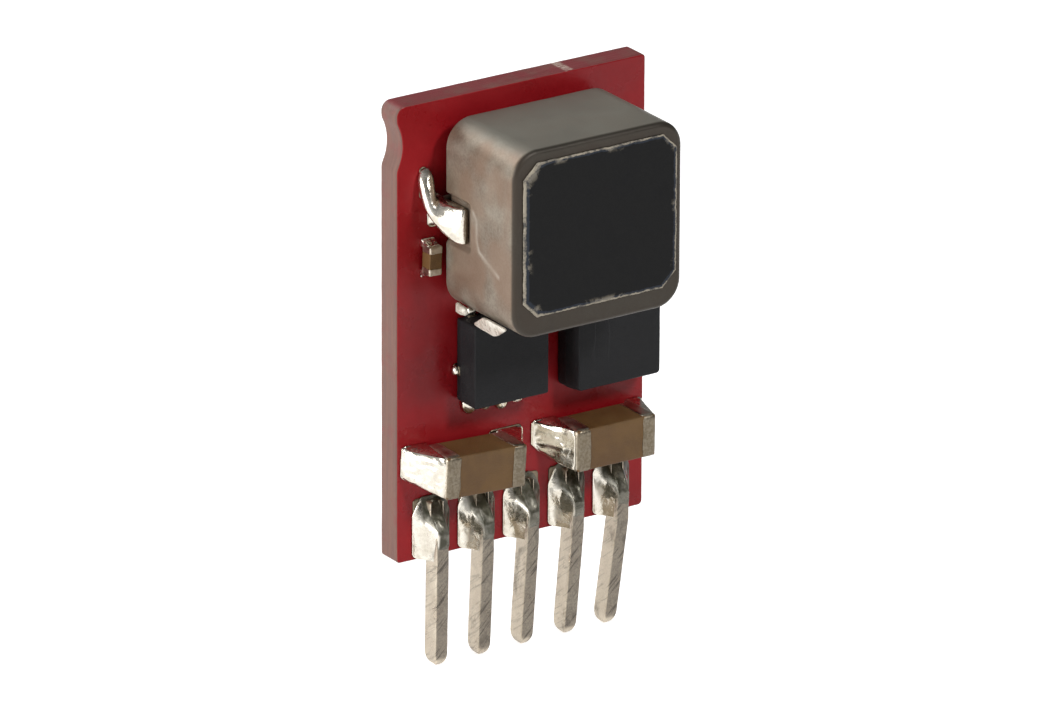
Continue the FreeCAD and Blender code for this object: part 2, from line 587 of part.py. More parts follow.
# Power stage package: straight sides up to its parting line, then drawn in towards its front face
def make_stage():
    x, z = STAGE_X, STAGE_Z
    length, width, step = "sizes.stageLeadLength", "sizes.stageLeadWidth", "sizes.stageLeadSpacing"
    film = "sizes.solderFilm"
    leads, joints = [], []
    for turn, sign in ((0, -1), (180, 1)):
        row_z = "%s + %d * (sizes.stageHeight / 2 - sizes.stageInset)" % (z, sign)
        leads.append(make_row("lead_row", lead_corners(length), width, 3, step, turn, x, row_z))
        joints.append(make_row("film_row", [("0", "0"), (film, "0"), (film, length), ("0", length)],
                               width, 3, step, turn, x, row_z))
        lands.append(make_row("land_row", land_corners(length, "0"), width + " + sizes.landMargin",
                              3, step, turn, x, row_z))
    land_x, land_z = "sizes.stageLandWidth", "sizes.stageLandHeight"
    leads.append(block("die_land", land_x, land_z, "sizes.leadThick"))
    joints.append(block("die_film", land_x, land_z, film, "-" + film))
    for piece in (leads[-1], joints[-1]):
        place(piece, x, SEAT, z)
    add_land(x, z, land_x, land_z)
    frame = group("stage_frame", leads)

    moulding = doc.addObject("PartDesign::Body", "stage_body")
    outline = new_sketch(moulding, "foot_outline", "XZ_Plane")
    draw_rounded(outline, "sizes.stageWidth", "sizes.stageHeight", "sizes.stageCorner")
    pad(moulding, outline, "sizes.stageParting")
    parting = new_sketch(moulding, "parting_outline", "XZ_Plane", "0", "0", "sizes.stageParting")
    draw_rounded(parting, "sizes.stageWidth", "sizes.stageHeight", "sizes.stageCorner")
    face = new_sketch(moulding, "face_outline", "XZ_Plane", "0", "0", "sizes.stageThick")
    draw_rounded(face, "sizes.stageWidth - 2 * sizes.stageDraft",
                 "sizes.stageHeight - 2 * sizes.stageDraft", "sizes.stageCorner")
    taper = moulding.newObject("PartDesign::AdditiveLoft", "taper")
    taper.Profile = parting
    taper.Sections = [face]
    taper.Ruled = True
    place(moulding, x, SEAT, z)
    keep(cut("stage_moulding", moulding, frame), "power_stage_package")
    keep(frame, "power_stage_leads")
    keep(group("stage_joints", joints), "power_stage_solder")


# A terminal of the inductor: a strip that leaves the body's side, runs down it and folds under
def make_terminal(side, name):
    thick, foot = "sizes.terminalThick", "sizes.terminalFoot"
    outer, inner = "0", "%d * %s" % (-side, thick)
    front = "-sizes.terminalExit"
    behind_front = "-sizes.terminalExit + " + thick
    arm_end = "%d * sizes.terminalArm" % -side
    foot_end = "%d * %s" % (-side, foot)
    body = doc.addObject("PartDesign::Body", name + "_terminal_body")
    outline = new_sketch(body, "outline", "XY_Plane")
    draw_outline(outline, [(outer, "0"), (outer, front), (arm_end, front), (arm_end, behind_front),
                           (inner, behind_front), (inner, "-" + thick), (foot_end, "-" + thick),
                           (foot_end, "0")])
    strip = pad(body, outline, "sizes.terminalWidth", True)
    outside = round_edges(body, strip, "sizes.terminalBend",
                          lambda p, run: parallel(run, 2) and abs(p.x) < 1e-6)
    inset = -side * sizes.terminalThick
    end = -sizes.terminalExit + sizes.terminalThick
    round_edges(body, outside, "sizes.terminalBend - " + thick,
                lambda p, run: parallel(run, 2) and abs(p.x - inset) < 1e-6
                and (abs(p.y - end) < 1e-6 or abs(p.y + sizes.terminalThick) < 1e-6))
    place(body, "sizes.inductorX + %d * sizes.inductorWidth / 2" % side, SEAT,
          TERMINAL_Z)
    return keep(body, "inductor_%s_terminal" % name)


# Solder at a terminal: a broad foot on the land that climbs the strip in a hollow curve
def make_inductor_joint(side, name):
    narrow = "(2 * sizes.inductorJointBelow)"
    tall = "(sizes.inductorJointBelow + sizes.inductorJointAbove)"
    climb = "(sizes.solderFilm + sizes.terminalExit - sizes.inductorJointStop)"
    sections = []
    for rise, share in ((0.0, 1.0), (0.22, 0.72), (0.55, 0.44), (1.0, 0.14)):
        reach = "(%g * sizes.inductorSkirt)" % share
        height = "(%s + %g * (%s - %s))" % (narrow, share ** 1.5, tall, narrow)
        sections.append(("-sizes.solderFilm + %g * %s" % (rise, climb), "%d * %s / 2" % (side, reach),
                         "%s + %s / 2" % (JOINT_LOW, height), reach, height, "0.35 * " + reach))
    form = solder_loft(name + "_joint", sections)
    place(form, "sizes.inductorX + %d * sizes.inductorWidth / 2" % side, SEAT)
    film = block("inductor_film", "sizes.terminalFoot", "sizes.terminalWidth", "sizes.solderFilm",
                 "-sizes.solderFilm")
    place(film, "sizes.inductorX + %d * (sizes.inductorWidth - sizes.terminalFoot) / 2" % side,
          SEAT, TERMINAL_Z)
    joint = doc.addObject("Part::Fuse", name + "_solder")
    joint.Base = form
    joint.Tool = film
    return keep(joint, "inductor_%s_solder" % name)


# Power inductor: a moulded body that stands off the board on its folded terminals
def make_inductor():
    body = doc.addObject("PartDesign::Body", "inductor_form")
    outline = new_sketch(body, "outline", "XZ_Plane")
    draw_rounded(outline, "sizes.inductorWidth", "sizes.inductorHeight", "sizes.inductorCorner")
    solid = pad(body, outline, "sizes.inductorDepth")
    front = -sizes.inductorDepth
    rounded = round_edges(body, solid, "sizes.inductorFrontEdge",
                          lambda p, run: abs(p.y - front) < 1e-6)
    last = bevel_edges(body, rounded, "sizes.inductorRearEdge", lambda p, run: abs(p.y) < 1e-6)
    pocket_front = "(sizes.terminalExit - sizes.terminalThick + sizes.pocketRise)"
    for side in (-1, 1):
        face = "%d * sizes.inductorWidth / 2" % side
        outline = new_sketch(body, "pocket_outline", "XZ_Plane", face, "-sizes.terminalDrop")
        draw_rectangle(outline, "2 * sizes.terminalThick",
                       "sizes.terminalWidth + 2 * sizes.pocketPlay")
        recess = body.newObject("PartDesign::Pocket", "pocket")
        recess.Profile = outline
        recess.Reversed = True
        recess.setExpression("Length", pocket_front)
    place(body, "sizes.inductorX", SEAT + " - sizes.terminalThick", INDUCTOR_Z)

    terminals = [make_terminal(-1, "left"), make_terminal(1, "right")]
    strips = group("inductor_strips", terminals)
    keep(cut("inductor_moulding", body, strips), "inductor_body")
    for side, name in ((-1, "left"), (1, "right")):
        make_inductor_joint(side, name)
        reach = "(sizes.inductorSkirt + sizes.terminalFoot)"
        height = "(sizes.inductorJointBelow + sizes.inductorJointAbove)"
        x = "sizes.inductorX + %d * (sizes.inductorWidth + sizes.inductorSkirt" % side
        add_land(x + " - sizes.terminalFoot) / 2", "%s + %s / 2" % (JOINT_LOW, height),
                 reach, height)

    label = doc.addObject("PartDesign::Body", "label_body")
    outline = new_sketch(label, "outline", "XZ_Plane")
    draw_rectangle(outline, "sizes.inductorWidth - sizes.labelInsetX",
                   "sizes.inductorHeight - sizes.labelInsetZ")
    sheet = pad(label, outline, "sizes.labelThick")
    bevel_edges(label, sheet, "sizes.labelChamfer", lambda p, run: parallel(run, 1))
    place(label, "sizes.inductorX + sizes.labelShiftX",
          SEAT + " - sizes.terminalThick - sizes.inductorDepth", INDUCTOR_Z + " + sizes.labelShiftZ")
    keep(label, "inductor_label")


make_board()
for number, lean in enumerate(("leanOne", "leanTwo", "leanThree", "leanFour", "leanFive"), start=1):
    make_pin_joint(number, make_pin(number, "sizes." + lean))
make_chip("chip", "input_capacitor", INPUT_X, INPUT_Z, "sizes.inputChipTilt",
          [("sizes.chipSkirt", "left"), ("sizes.chipSkirt", "right")])
make_chip("chip", "output_capacitor", OUTPUT_X, OUTPUT_Z, "sizes.outputChipTilt",
          [("sizes.chipSkirt", "left"), ("sizes.chipEdgeSkirt", "right")])
make_chip("small", "small_capacitor", SMALL_X, SMALL_Z, "sizes.smallTilt",
          [("sizes.smallSkirt", "upper"), ("sizes.smallSkirt", "lower")])
make_regulator()
make_stage()
make_inductor()
keep(group("board_copper", lands), "board_lands")
doc.recompute()

failed = [item.Label for item in doc.Objects if "Invalid" in item.State or "Error" in item.State]
empty = [item.Label for item in parts if item.Shape.isNull() or not item.Shape.isValid()]
if failed or empty:
    raise RuntimeError("failed features %s, bad shapes %s" % (failed, empty))

os.makedirs("parts", exist_ok=True)
for item in parts:
    item.Shape.exportStep(os.path.join("parts", item.Label + ".step"))
print(len(parts), "sub-parts written")
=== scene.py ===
import bpy, bmesh, json
from math import cos, hypot, radians, sin, sqrt, tan, tau
from mathutils import Vector, Matrix, noise


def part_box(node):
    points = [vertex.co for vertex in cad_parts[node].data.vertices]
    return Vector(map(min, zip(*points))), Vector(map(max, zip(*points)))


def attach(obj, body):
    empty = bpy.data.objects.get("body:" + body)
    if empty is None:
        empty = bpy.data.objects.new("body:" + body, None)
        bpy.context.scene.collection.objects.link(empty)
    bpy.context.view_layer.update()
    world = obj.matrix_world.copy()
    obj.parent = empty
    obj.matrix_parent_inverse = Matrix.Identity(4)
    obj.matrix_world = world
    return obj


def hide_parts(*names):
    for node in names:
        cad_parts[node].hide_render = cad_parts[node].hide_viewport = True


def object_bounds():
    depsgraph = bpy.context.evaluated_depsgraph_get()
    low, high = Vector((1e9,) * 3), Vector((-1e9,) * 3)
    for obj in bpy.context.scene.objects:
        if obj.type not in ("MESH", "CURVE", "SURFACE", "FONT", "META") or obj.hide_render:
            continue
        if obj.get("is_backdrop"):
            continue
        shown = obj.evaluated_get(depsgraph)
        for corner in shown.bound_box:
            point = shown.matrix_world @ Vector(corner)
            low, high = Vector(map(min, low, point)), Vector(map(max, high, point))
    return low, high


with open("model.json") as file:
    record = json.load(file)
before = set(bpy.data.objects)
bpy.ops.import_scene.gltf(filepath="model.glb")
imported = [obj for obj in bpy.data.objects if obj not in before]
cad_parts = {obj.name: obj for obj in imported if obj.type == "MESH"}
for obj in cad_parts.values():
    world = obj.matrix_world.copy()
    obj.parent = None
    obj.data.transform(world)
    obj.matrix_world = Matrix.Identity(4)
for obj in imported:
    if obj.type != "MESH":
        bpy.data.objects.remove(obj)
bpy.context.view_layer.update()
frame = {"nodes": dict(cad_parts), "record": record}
cadNodes = frame["nodes"]
print("module loaded:", len(cadNodes), "CAD nodes")

# lengths in this script are millimetres; every mesh is turned to metres when it is finished
toMetres = 0.001
cameraView = {
    "turn": -33.772, "raise": 21.092, "roll": 0.226, "distance": 400.0,
    "target": (0.0, 0.46, 8.25), "right": 0.356, "down": 1.546, "pixelsPerMm": 29.402,
    "picture": 1063, "sensor": 36.0,
}


def aimCamera(v):
    turn, rise, roll = (radians(v[k]) for k in ("turn", "raise", "roll"))
    back = Vector((sin(turn) * cos(rise), -cos(turn) * cos(rise), sin(rise)))
    right = Vector((cos(turn), sin(turn), 0.0))
    up = back.cross(right)
    sideways = right * cos(roll) + up * sin(roll)
    upwards = up * cos(roll) - right * sin(roll)
    place = Vector(v["target"]) + sideways * v["right"] - upwards * v["down"] + back * v["distance"]
    data = bpy.data.cameras.new("pictureCamera")
    data.sensor_width = v["sensor"]
    data.lens = v["pixelsPerMm"] * v["distance"] * v["sensor"] / v["picture"]
    data.clip_start, data.clip_end = 0.01, 20.0
    cam = bpy.data.objects.new("pictureCamera", data)
    cam.matrix_world = Matrix((
        (sideways.x, upwards.x, back.x, place.x * toMetres),
        (sideways.y, upwards.y, back.y, place.y * toMetres),
        (sideways.z, upwards.z, back.z, place.z * toMetres),
        (0.0, 0.0, 0.0, 1.0)))
    bpy.context.scene.collection.objects.link(cam)
    bpy.context.scene.camera = cam


aimCamera(cameraView)
bpy.context.scene.view_settings.view_transform = "Standard"
print("camera set")


def meshFrom(name, bm, material=None, smooth=True):
    # a piece drawn in millimetres becomes an object at the origin, in metres; a flat one keeps its facing
    if smooth:
        bmesh.ops.recalc_face_normals(bm, faces=bm.faces)
    bmesh.ops.scale(bm, vec=(toMetres, toMetres, toMetres), verts=bm.verts)
    data = bpy.data.meshes.new(name)
    bm.to_mesh(data)
    bm.free()
    for face in data.polygons:
        face.use_smooth = smooth
    obj = bpy.data.objects.new(name, data)
    bpy.context.scene.collection.objects.link(obj)
    if material:
        data.materials.append(material)
    return obj


def dress(obj, slotName, *replaced):
    # the piece rides with the module and stands for its CAD nodes
    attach(obj, "root")
    if replaced:
        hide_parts(*replaced)
    return obj


def pieceFrom(name, rings, material, slotName, *replaced, place=Matrix()):
    # rings of points become one closed and dressed piece, set down where place says
    bm = bmesh.new()
    skin(bm, rings)
    bmesh.ops.transform(bm, matrix=place, verts=bm.verts)
    return dress(meshFrom(name, bm, material), slotName, *replaced)


def roundedLoop(width, height, radius, cornerSteps=8, step=0.2):
    # points of a rounded rectangle round (0, 0), each with its outward direction, anticlockwise
    points = []
    hw, hh = width / 2, height / 2
    radius = min(radius, hw - 1e-4, hh - 1e-4)
    sides = [(hw - radius, hh - radius, 0.0), (-hw + radius, hh - radius, 90.0),
             (-hw + radius, -hh + radius, 180.0), (hw - radius, -hh + radius, 270.0)]
    for number, (cx, cz, start) in enumerate(sides):
        for k in range(cornerSteps + 1):
            a = radians(start + 90.0 * k / cornerSteps)
            points.append((cx + radius * cos(a), cz + radius * sin(a), cos(a), sin(a)))
        nx, nz = cos(radians(start + 90)), sin(radians(start + 90))
        ox, oz, _ = sides[(number + 1) % 4]
        endX, endZ = ox + radius * nx, oz + radius * nz
        fromX, fromZ = points[-1][0], points[-1][1]
        run = hypot(endX - fromX, endZ - fromZ)
        pieces = max(1, round(run / step))
        for k in range(1, pieces):
            t = k / pieces
            points.append((fromX + (endX - fromX) * t, fromZ + (endZ - fromZ) * t, nx, nz))
    return points


def skin(bm, rings, closeStart=True, closeEnd=True):
    # quads between neighbouring rings of points; the ends close with a fan to their middle
    made = [[bm.verts.new(p) for p in ring] for ring in rings]
    count = len(made[0])
    for low, high in zip(made, made[1:]):
        for i in range(count):
            j = (i + 1) % count
            bm.faces.new((low[i], low[j], high[j], high[i]))
    for ring, wanted, turn in ((made[0], closeStart, True), (made[-1], closeEnd, False)):
        if not wanted:
            continue
        middle = bm.verts.new(sum((v.co for v in ring), Vector()) / count)
        for i in range(count):
            j = (i + 1) % count
            bm.faces.new((ring[j], ring[i], middle) if turn else (ring[i], ring[j], middle))
    return made


def smoothStep(low, high, value):
    t = min(1.0, max(0.0, (value - low) / (high - low)))
    return t * t * (3.0 - 2.0 * t)


def within(value, low, high, edge):
    # 1 between low and high, falling to 0 over the edge's width outside them
    return smoothStep(low - edge, low, value) * (1.0 - smoothStep(high, high + edge, value))


def quarter(steps):
    # sine and cosine at even steps over a quarter turn
    angles = [radians(90.0 * k / steps) for k in range(steps + 1)]
    return [(sin(a), cos(a)) for a in angles]


def wave(x, y, z):
    # smooth random value between about -1 and 1 for each place
    return noise.noise(Vector((x, y, z)))


def ends(node):
    low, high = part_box(node)
    return low * 1000.0, high * 1000.0


def newTree(name, kind, inputs, outputs):
    # a node group with its sockets, each a label, a kind and perhaps a value
    tree = bpy.data.node_groups.new(name, kind)
    for way, sockets in (("INPUT", inputs), ("OUTPUT", outputs)):
        for label, sort, *value in sockets:
            socket = tree.interface.new_socket(label, in_out=way, socket_type="NodeSocket" + sort)
            if value:
                socket.default_value = value[0]
    w = Wires(tree)
    return tree, w, w.add("NodeGroupInput").outputs, w.add("NodeGroupOutput").inputs


class Wires:
    # short ways to add nodes to one tree; an input takes a value or another node's output
    def __init__(self, tree):
        self.tree = tree

    def feed(self, socket, value):
        if isinstance(value, bpy.types.NodeSocket):
            self.tree.links.new(value, socket)
        else:
            socket.default_value = value

    def add(self, kind, inputs=(), **settings):
        node = self.tree.nodes.new(kind)
        for key, value in settings.items():
            setattr(node, key, value)
        for label, value in dict(inputs).items():
            self.feed(node.inputs[label], value)
        return node

    def put(self, kind, inputs=(), **settings):
        return self.add(kind, inputs, **settings).outputs[0]

    def math(self, operation, first, second=0.0, clamp=False):
        return self.put("ShaderNodeMath", {0: first, 1: second}, operation=operation, use_clamp=clamp)

    def times(self, first, second):
        return self.math("MULTIPLY", first, second)

    def plus(self, first, second):
        return self.math("ADD", first, second)

    def minus(self, first, second):
        return self.math("SUBTRACT", first, second)

    def most(self, first, second):
        return self.math("MAXIMUM", first, second)

    def remap(self, value, low, high, outLow=0.0, outHigh=1.0):
        inputs = dict(enumerate((value, low, high, outLow, outHigh)))
        return self.put("ShaderNodeMapRange", inputs, interpolation_type="SMOOTHSTEP")

    def mixValue(self, share, first, second):
        return self.put("ShaderNodeMix", {0: share, 2: first, 3: second}, data_type="FLOAT")

    def coats(self, base, *layers):
        # each layer is its share and its colour, laid over the ones before
        for share, colour in layers:
            base = self.add("ShaderNodeMix", {0: share, 6: base, 7: colour}, data_type="RGBA").outputs[2]
        return base

    def noise(self, vector, scale, detail=4.0, rough=0.55, distortion=0.0):
        inputs = {"Vector": vector, "Scale": scale, "Detail": detail, "Roughness": rough, "Distortion": distortion}
        return self.add("ShaderNodeTexNoise", inputs).outputs["Fac"]

    def stretch(self, vector, scale, turn=(0.0, 0.0, 0.0)):
        return self.put("ShaderNodeMapping", {"Vector": vector, "Scale": scale, "Rotation": turn})

    def axes(self, vector):
        return self.add("ShaderNodeSeparateXYZ", {0: vector}).outputs

    def along(self, **values):
        # a vector from what its X, Y and Z are fed
        return self.put("ShaderNodeCombineXYZ", values)

    def attribute(self, name):
        return self.add("ShaderNodeAttribute", attribute_name=name).outputs["Fac"]


def emptied(owner):
    # the node tree of a new material or world, cleared
    owner.use_nodes = True
    owner.node_tree.nodes.clear()
    return owner.node_tree


def srgb(r, g, b):
    # a colour as a picture shows it, turned to the linear values that a shader takes
    parts = [c / 255.0 for c in (r, g, b)]
    return tuple(c / 12.92 if c <= 0.04045 else ((c + 0.055) / 1.055) ** 2.4 for c in parts) + (1.0,)


class Surface(Wires):
    # a material with its shader, the piece's own place in millimetres and a mottled tone between two colours
    sockets = {"base": "Base Color", "rough": "Roughness", "metal": "Metallic", "specular": "Specular IOR Level",
               "coat": "Coat Weight", "coatRough": "Coat Roughness", "normal": "Normal"}

    def __init__(self, name, look):
        self.material = bpy.data.materials.new(name)
        super().__init__(emptied(self.material))
        self.shader = self.add("ShaderNodeBsdfPrincipled")
        self.add("ShaderNodeOutputMaterial", {"Surface": self.shader.outputs[0]})
        self.place = self.stretch(self.add("ShaderNodeTexCoord").outputs["Object"], (1000.0, 1000.0, 1000.0))
        self.x, self.y, self.z = self.axes(self.place)
        if "tone" in look:
            dark, pale, patchScale, grainScale, grainShare = look["tone"]
            self.colour, self.patch, self.grain = self.add("ShaderNodeGroup", {
                "Place": self.place, "Dark": srgb(*dark), "Pale": srgb(*pale), "Patch Scale": patchScale,
                "Grain Scale": grainScale, "Grain Share": grainShare}, node_tree=mottledTone).outputs

    def scratches(self, place, scale, amount):
        inputs = {"Place": place, "Scale": scale, "Amount": amount}
        return self.put("ShaderNodeGroup", inputs, node_tree=fineScratches)

    def patchy(self, low, high):
        return self.remap(self.patch, 0.0, 1.0, low, high)

    def paint(self, **values):
        for key, value in values.items():
            self.feed(self.shader.inputs[self.sockets[key]], value)

    def bump(self, height, depth):
        self.paint(normal=self.put("ShaderNodeBump", {
            "Strength": 1.0, "Distance": depth * toMetres, "Height": height}))


def makeMottle():
    # a tone between two colours, from broad patches and fine grain
    tree, w, given, out = newTree("mottledTone", "ShaderNodeTree", [
        ("Place", "Vector"), ("Dark", "Color", (0, 0, 0, 1)), ("Pale", "Color", (1, 1, 1, 1)),
        ("Patch Scale", "Float", 1.0), ("Grain Scale", "Float", 20.0), ("Grain Share", "Float", 0.4),
    ], [("Color", "Color"), ("Patch", "Float"), ("Grain", "Float")])
    patch = w.remap(w.noise(given["Place"], given["Patch Scale"], 5.0, 0.6), 0.32, 0.68)
    grain = w.remap(w.noise(given["Place"], given["Grain Scale"], 3.0, 0.7), 0.3, 0.7)
    blend = w.mixValue(given["Grain Share"], patch, grain)
    w.feed(out["Color"], w.coats(given["Dark"], (blend, given["Pale"])))
    w.feed(out["Patch"], patch)
    w.feed(out["Grain"], grain)
    return tree


def makeScratches():
    # thin lines along one way, broken up by patches
    tree, w, given, out = newTree("fineScratches", "ShaderNodeTree", [
        ("Place", "Vector"), ("Scale", "Float", 6.0), ("Amount", "Float", 0.5)], [("Mask", "Float")])
    lines = w.noise(given["Place"], given["Scale"], 2.0, 0.4, 0.3)
    thin = w.minus(1.0, w.remap(w.math("ABSOLUTE", w.minus(lines, 0.5)), 0.0, 0.02))
    patches = w.noise(given["Place"], w.times(given["Scale"], 0.37), 2.0)
    broken = w.remap(patches, w.minus(0.75, w.times(given["Amount"], 0.35)), 0.8)
    w.feed(out["Mask"], w.math("MULTIPLY", thin, broken, clamp=True))
    return tree


mottledTone = makeMottle()
fineScratches = makeScratches()
print("node groups made")


# a look's tone is its dark and pale colours, the scales of its patches and its grain, and the grain's share
def makeRedLacquer():
    look = {"tone": ((134, 18, 24), (150, 25, 31), 0.45, 9.0, 0.25), "peel": 0.01}
    m = Surface("redLacquer", look)
    m.paint(base=m.colour, rough=m.patchy(0.25, 0.4), specular=0.22)
    weave = m.noise(m.stretch(m.place, (4.0, 1.0, 4.0)), 1.0, 2.0)
    m.bump(m.plus(m.noise(m.place, 3.0, 3.0), m.times(weave, 0.3)), look["peel"])
    return m.material


def makeBareLaminate():
    look = {"resin": srgb(102, 69, 60), "fibre": srgb(126, 93, 82), "stain": srgb(96, 48, 45),
            "red": srgb(128, 50, 54), "burr": srgb(206, 186, 172), "topEdge": (16.38, 16.5),
            "burrFrom": (1.74, 1.84), "burrTo": (2.16, 2.04)}
    m = Surface("bareLaminate", look)
    layers = m.noise(m.stretch(m.place, (0.25, 5.0, 0.25)), 1.4, 3.0, 0.5, 0.2)
    fibres = m.noise(m.stretch(m.place, (2.2, 14.0, 2.2)), 1.3, 4.0, 0.75)
    cloud = m.noise(m.place, 1.1, 3.0, 0.6)
    redTop = m.times(m.remap(m.z, *look["topEdge"]), m.remap(cloud, 0.3, 0.6, 0.45, 0.95))
    streak = m.times(m.remap(m.x, *look["burrFrom"]), m.remap(m.x, *look["burrTo"]))
    base = m.coats(
        look["resin"], (m.remap(layers, 0.3, 0.7, 0.1, 0.9), look["fibre"]),
        (m.remap(fibres, 0.5, 0.75, 0.0, 0.35), look["stain"]),
        (m.most(redTop, m.remap(cloud, 0.52, 0.7, 0.0, 0.35)), look["red"]),
        (m.times(m.times(streak, m.remap(fibres, 0.4, 0.55)), 0.8), look["burr"]))
    m.paint(base=base, rough=m.remap(layers, 0.3, 0.7, 0.5, 0.75))
    m.bump(fibres, 0.012)
    return m.material


def makeTin(name, look):
    # a dark colour marks smudges, scratches and the strokes of the tool as dirt and wear, and paints shade on the face
    # that looks forwards, where the strokes are stronger too
    m = Surface(name, look)
    turned = m.stretch(m.stretch(m.place, (1.0, 1.0, 1.0), look["turn"]), look["along"])
    scratch = m.scratches(turned, look["marks"], look["worn"])
    smudge = m.remap(m.noise(m.stretch(m.place, (1.0, 1.0, 0.6)), 1.7, 4.0, 0.65), 0.56, 0.72, 0.0, look["smudge"])
    # painted shade: the face that looks forwards is darkened by its place on the piece, for how dimly it is lit
    face = m.remap(m.y, look["faceFrom"], look["faceFrom"] - 0.05, 0.0, look["faceShade"])
    strokes = m.remap(m.noise(m.stretch(turned, (1.0, 1.0, 1.6)), 1.7, 3.0, 0.6), 0.53, 0.64)
    hatch = m.times(strokes, m.plus(m.times(face, 0.7), 0.3))
    shares = (smudge, m.times(face, m.remap(m.grain, 0.0, 1.0, 0.75, 1.0)),
              m.times(scratch, look["depth"]), m.times(hatch, look["hatch"]))
    m.paint(base=m.coats(m.colour, *((share, srgb(*look["soilAndShade"])) for share in shares)), metal=look["metal"],
            rough=m.plus(m.patchy(look["rough"] * 0.8, look["rough"] * 1.25), m.times(smudge, 0.2)))
    m.bump(m.minus(m.times(m.grain, 0.4), scratch), look["bump"])
    return m.material


def makeSolder():
    # the olive colour is residue and painted shade in one: it dulls where the joints face away from the left light
    look = {"tone": ((196, 188, 172), (238, 233, 222), 1.6, 8.0, 0.3), "residueAndShade": srgb(56, 54, 38), "bump": 0.022}
    m = Surface("reflowedSolder", look)
    clouds = m.remap(m.noise(m.place, 1.9, 4.0, 0.6), 0.34, 0.6, 0.8, 1.0)
    pooled = m.remap(m.noise(m.place, 2.3, 4.0, 0.6), 0.6, 0.72, 0.0, 0.45)
    # the attribute carries painted shade as well as residue; the pooled patches are residue only
    residueAndShade = m.most(m.times(m.attribute("residueAndShade"), clouds), pooled)
    m.paint(base=m.coats(m.colour, (residueAndShade, look["residueAndShade"])), metal=m.remap(residueAndShade, 0.0, 1.0, 1.0, 0.5),
            rough=m.plus(m.patchy(0.14, 0.3), m.times(residueAndShade, 0.12)), coat=m.times(residueAndShade, 0.3), coatRough=0.15)
    m.bump(m.noise(m.place, 3.4, 3.0, 0.5, 0.5), look["bump"])
    return m.material


def makePowder():
    look = {"tone": ((106, 92, 78), (154, 146, 132), 0.62, 12.0, 0.3), "warm": srgb(128, 103, 84),
            "rim": srgb(52, 47, 41), "top": srgb(136, 134, 124), "worn": srgb(206, 200, 188),
            # the top colour is painted light and shade: a tone of its own for the top face, set for how the top is lit
            "topEdge": (15.6, 15.95), "frontEdge": (-4.03, -4.14)}
    m = Surface("mouldedPowder", look)
    base = m.coats(
        m.colour, (m.remap(m.noise(m.place, 0.5, 2.0, 0.5), 0.42, 0.62, 0.0, 0.65), look["warm"]),
        # painted light and shade on the top face, above topEdge
        (m.remap(m.z, *look["topEdge"], 0.0, 0.85), look["top"]),
        (m.remap(m.y, *look["frontEdge"], 0.0, 0.92), look["rim"]),
        (m.times(m.attribute("worn"), 0.75), look["worn"]))
    m.paint(base=base, metal=0.4, specular=0.25, rough=m.patchy(0.36, 0.46))
    m.bump(m.noise(m.place, 20.0, 3.0, 0.7), 0.005)
    return m.material


def makeInk():
    # a grey film and a broken pale line follow the label's rim, wider at its left and lower sides
    look = {"tone": ((20, 20, 21), (29, 29, 29), 1.0, 20.0, 0.4), "film": srgb(52, 57, 66),
            "chip": srgb(178, 168, 150), "leftSide": (-2.0, -2.4), "lowSide": (9.9, 9.6)}
    m = Surface("labelInk", look)
    ragged = m.times(m.minus(m.noise(m.place, 3.4, 5.0, 0.75), 0.5), 0.16)
    leftLow = m.most(m.remap(m.x, *look["leftSide"]), m.remap(m.z, *look["lowSide"]))
    edge = m.times(m.plus(m.attribute("rim"), ragged), m.mixValue(leftLow, 1.1, 0.62))
    grey = m.minus(1.0, m.remap(edge, 0.13, 0.17))
    line = m.minus(1.0, m.remap(edge, 0.045, 0.09))
    pale = m.times(line, m.remap(m.noise(m.place, 1.9, 5.0, 0.75), 0.38, 0.52, 0.2, 1.0))
    smear = m.times(m.remap(m.noise(m.place, 1.1, 5.0, 0.7), 0.54, 0.64), m.remap(edge, 0.3, 0.08))
    base = m.coats(m.colour, (m.times(grey, 0.75), look["film"]), (m.times(smear, 0.45), look["chip"]),
                   (m.times(pale, 0.85), look["chip"]))
    m.paint(base=base, rough=m.patchy(0.42, 0.56), specular=0.1)
    m.bump(m.plus(m.times(m.noise(m.place, 24.0, 3.0), 0.4), pale), 0.01)
    return m.material


def makeEpoxy():
    look = {"tone": ((27, 27, 29), (38, 38, 39), 0.8, 22.0, 0.4), "worn": srgb(80, 80, 80)}
    m = Surface("blackEpoxy", look)
    scratch = m.scratches(m.stretch(m.place, (1.0, 1.0, 0.25), (0, 0.6, 0)), 1.2, 0.45)
    m.paint(base=m.coats(m.colour, (m.times(scratch, 0.3), look["worn"])), rough=m.patchy(0.42, 0.58), specular=0.13)
    m.bump(m.grain, 0.006)
    return m.material


def makeCeramic():
    m = Surface("firedCeramic", {"tone": ((92, 66, 37), (112, 84, 50), 0.9, 18.0, 0.3)})
    m.paint(base=m.colour, rough=m.patchy(0.36, 0.5), specular=0.28)
    m.bump(m.grain, 0.004)
    return m.material


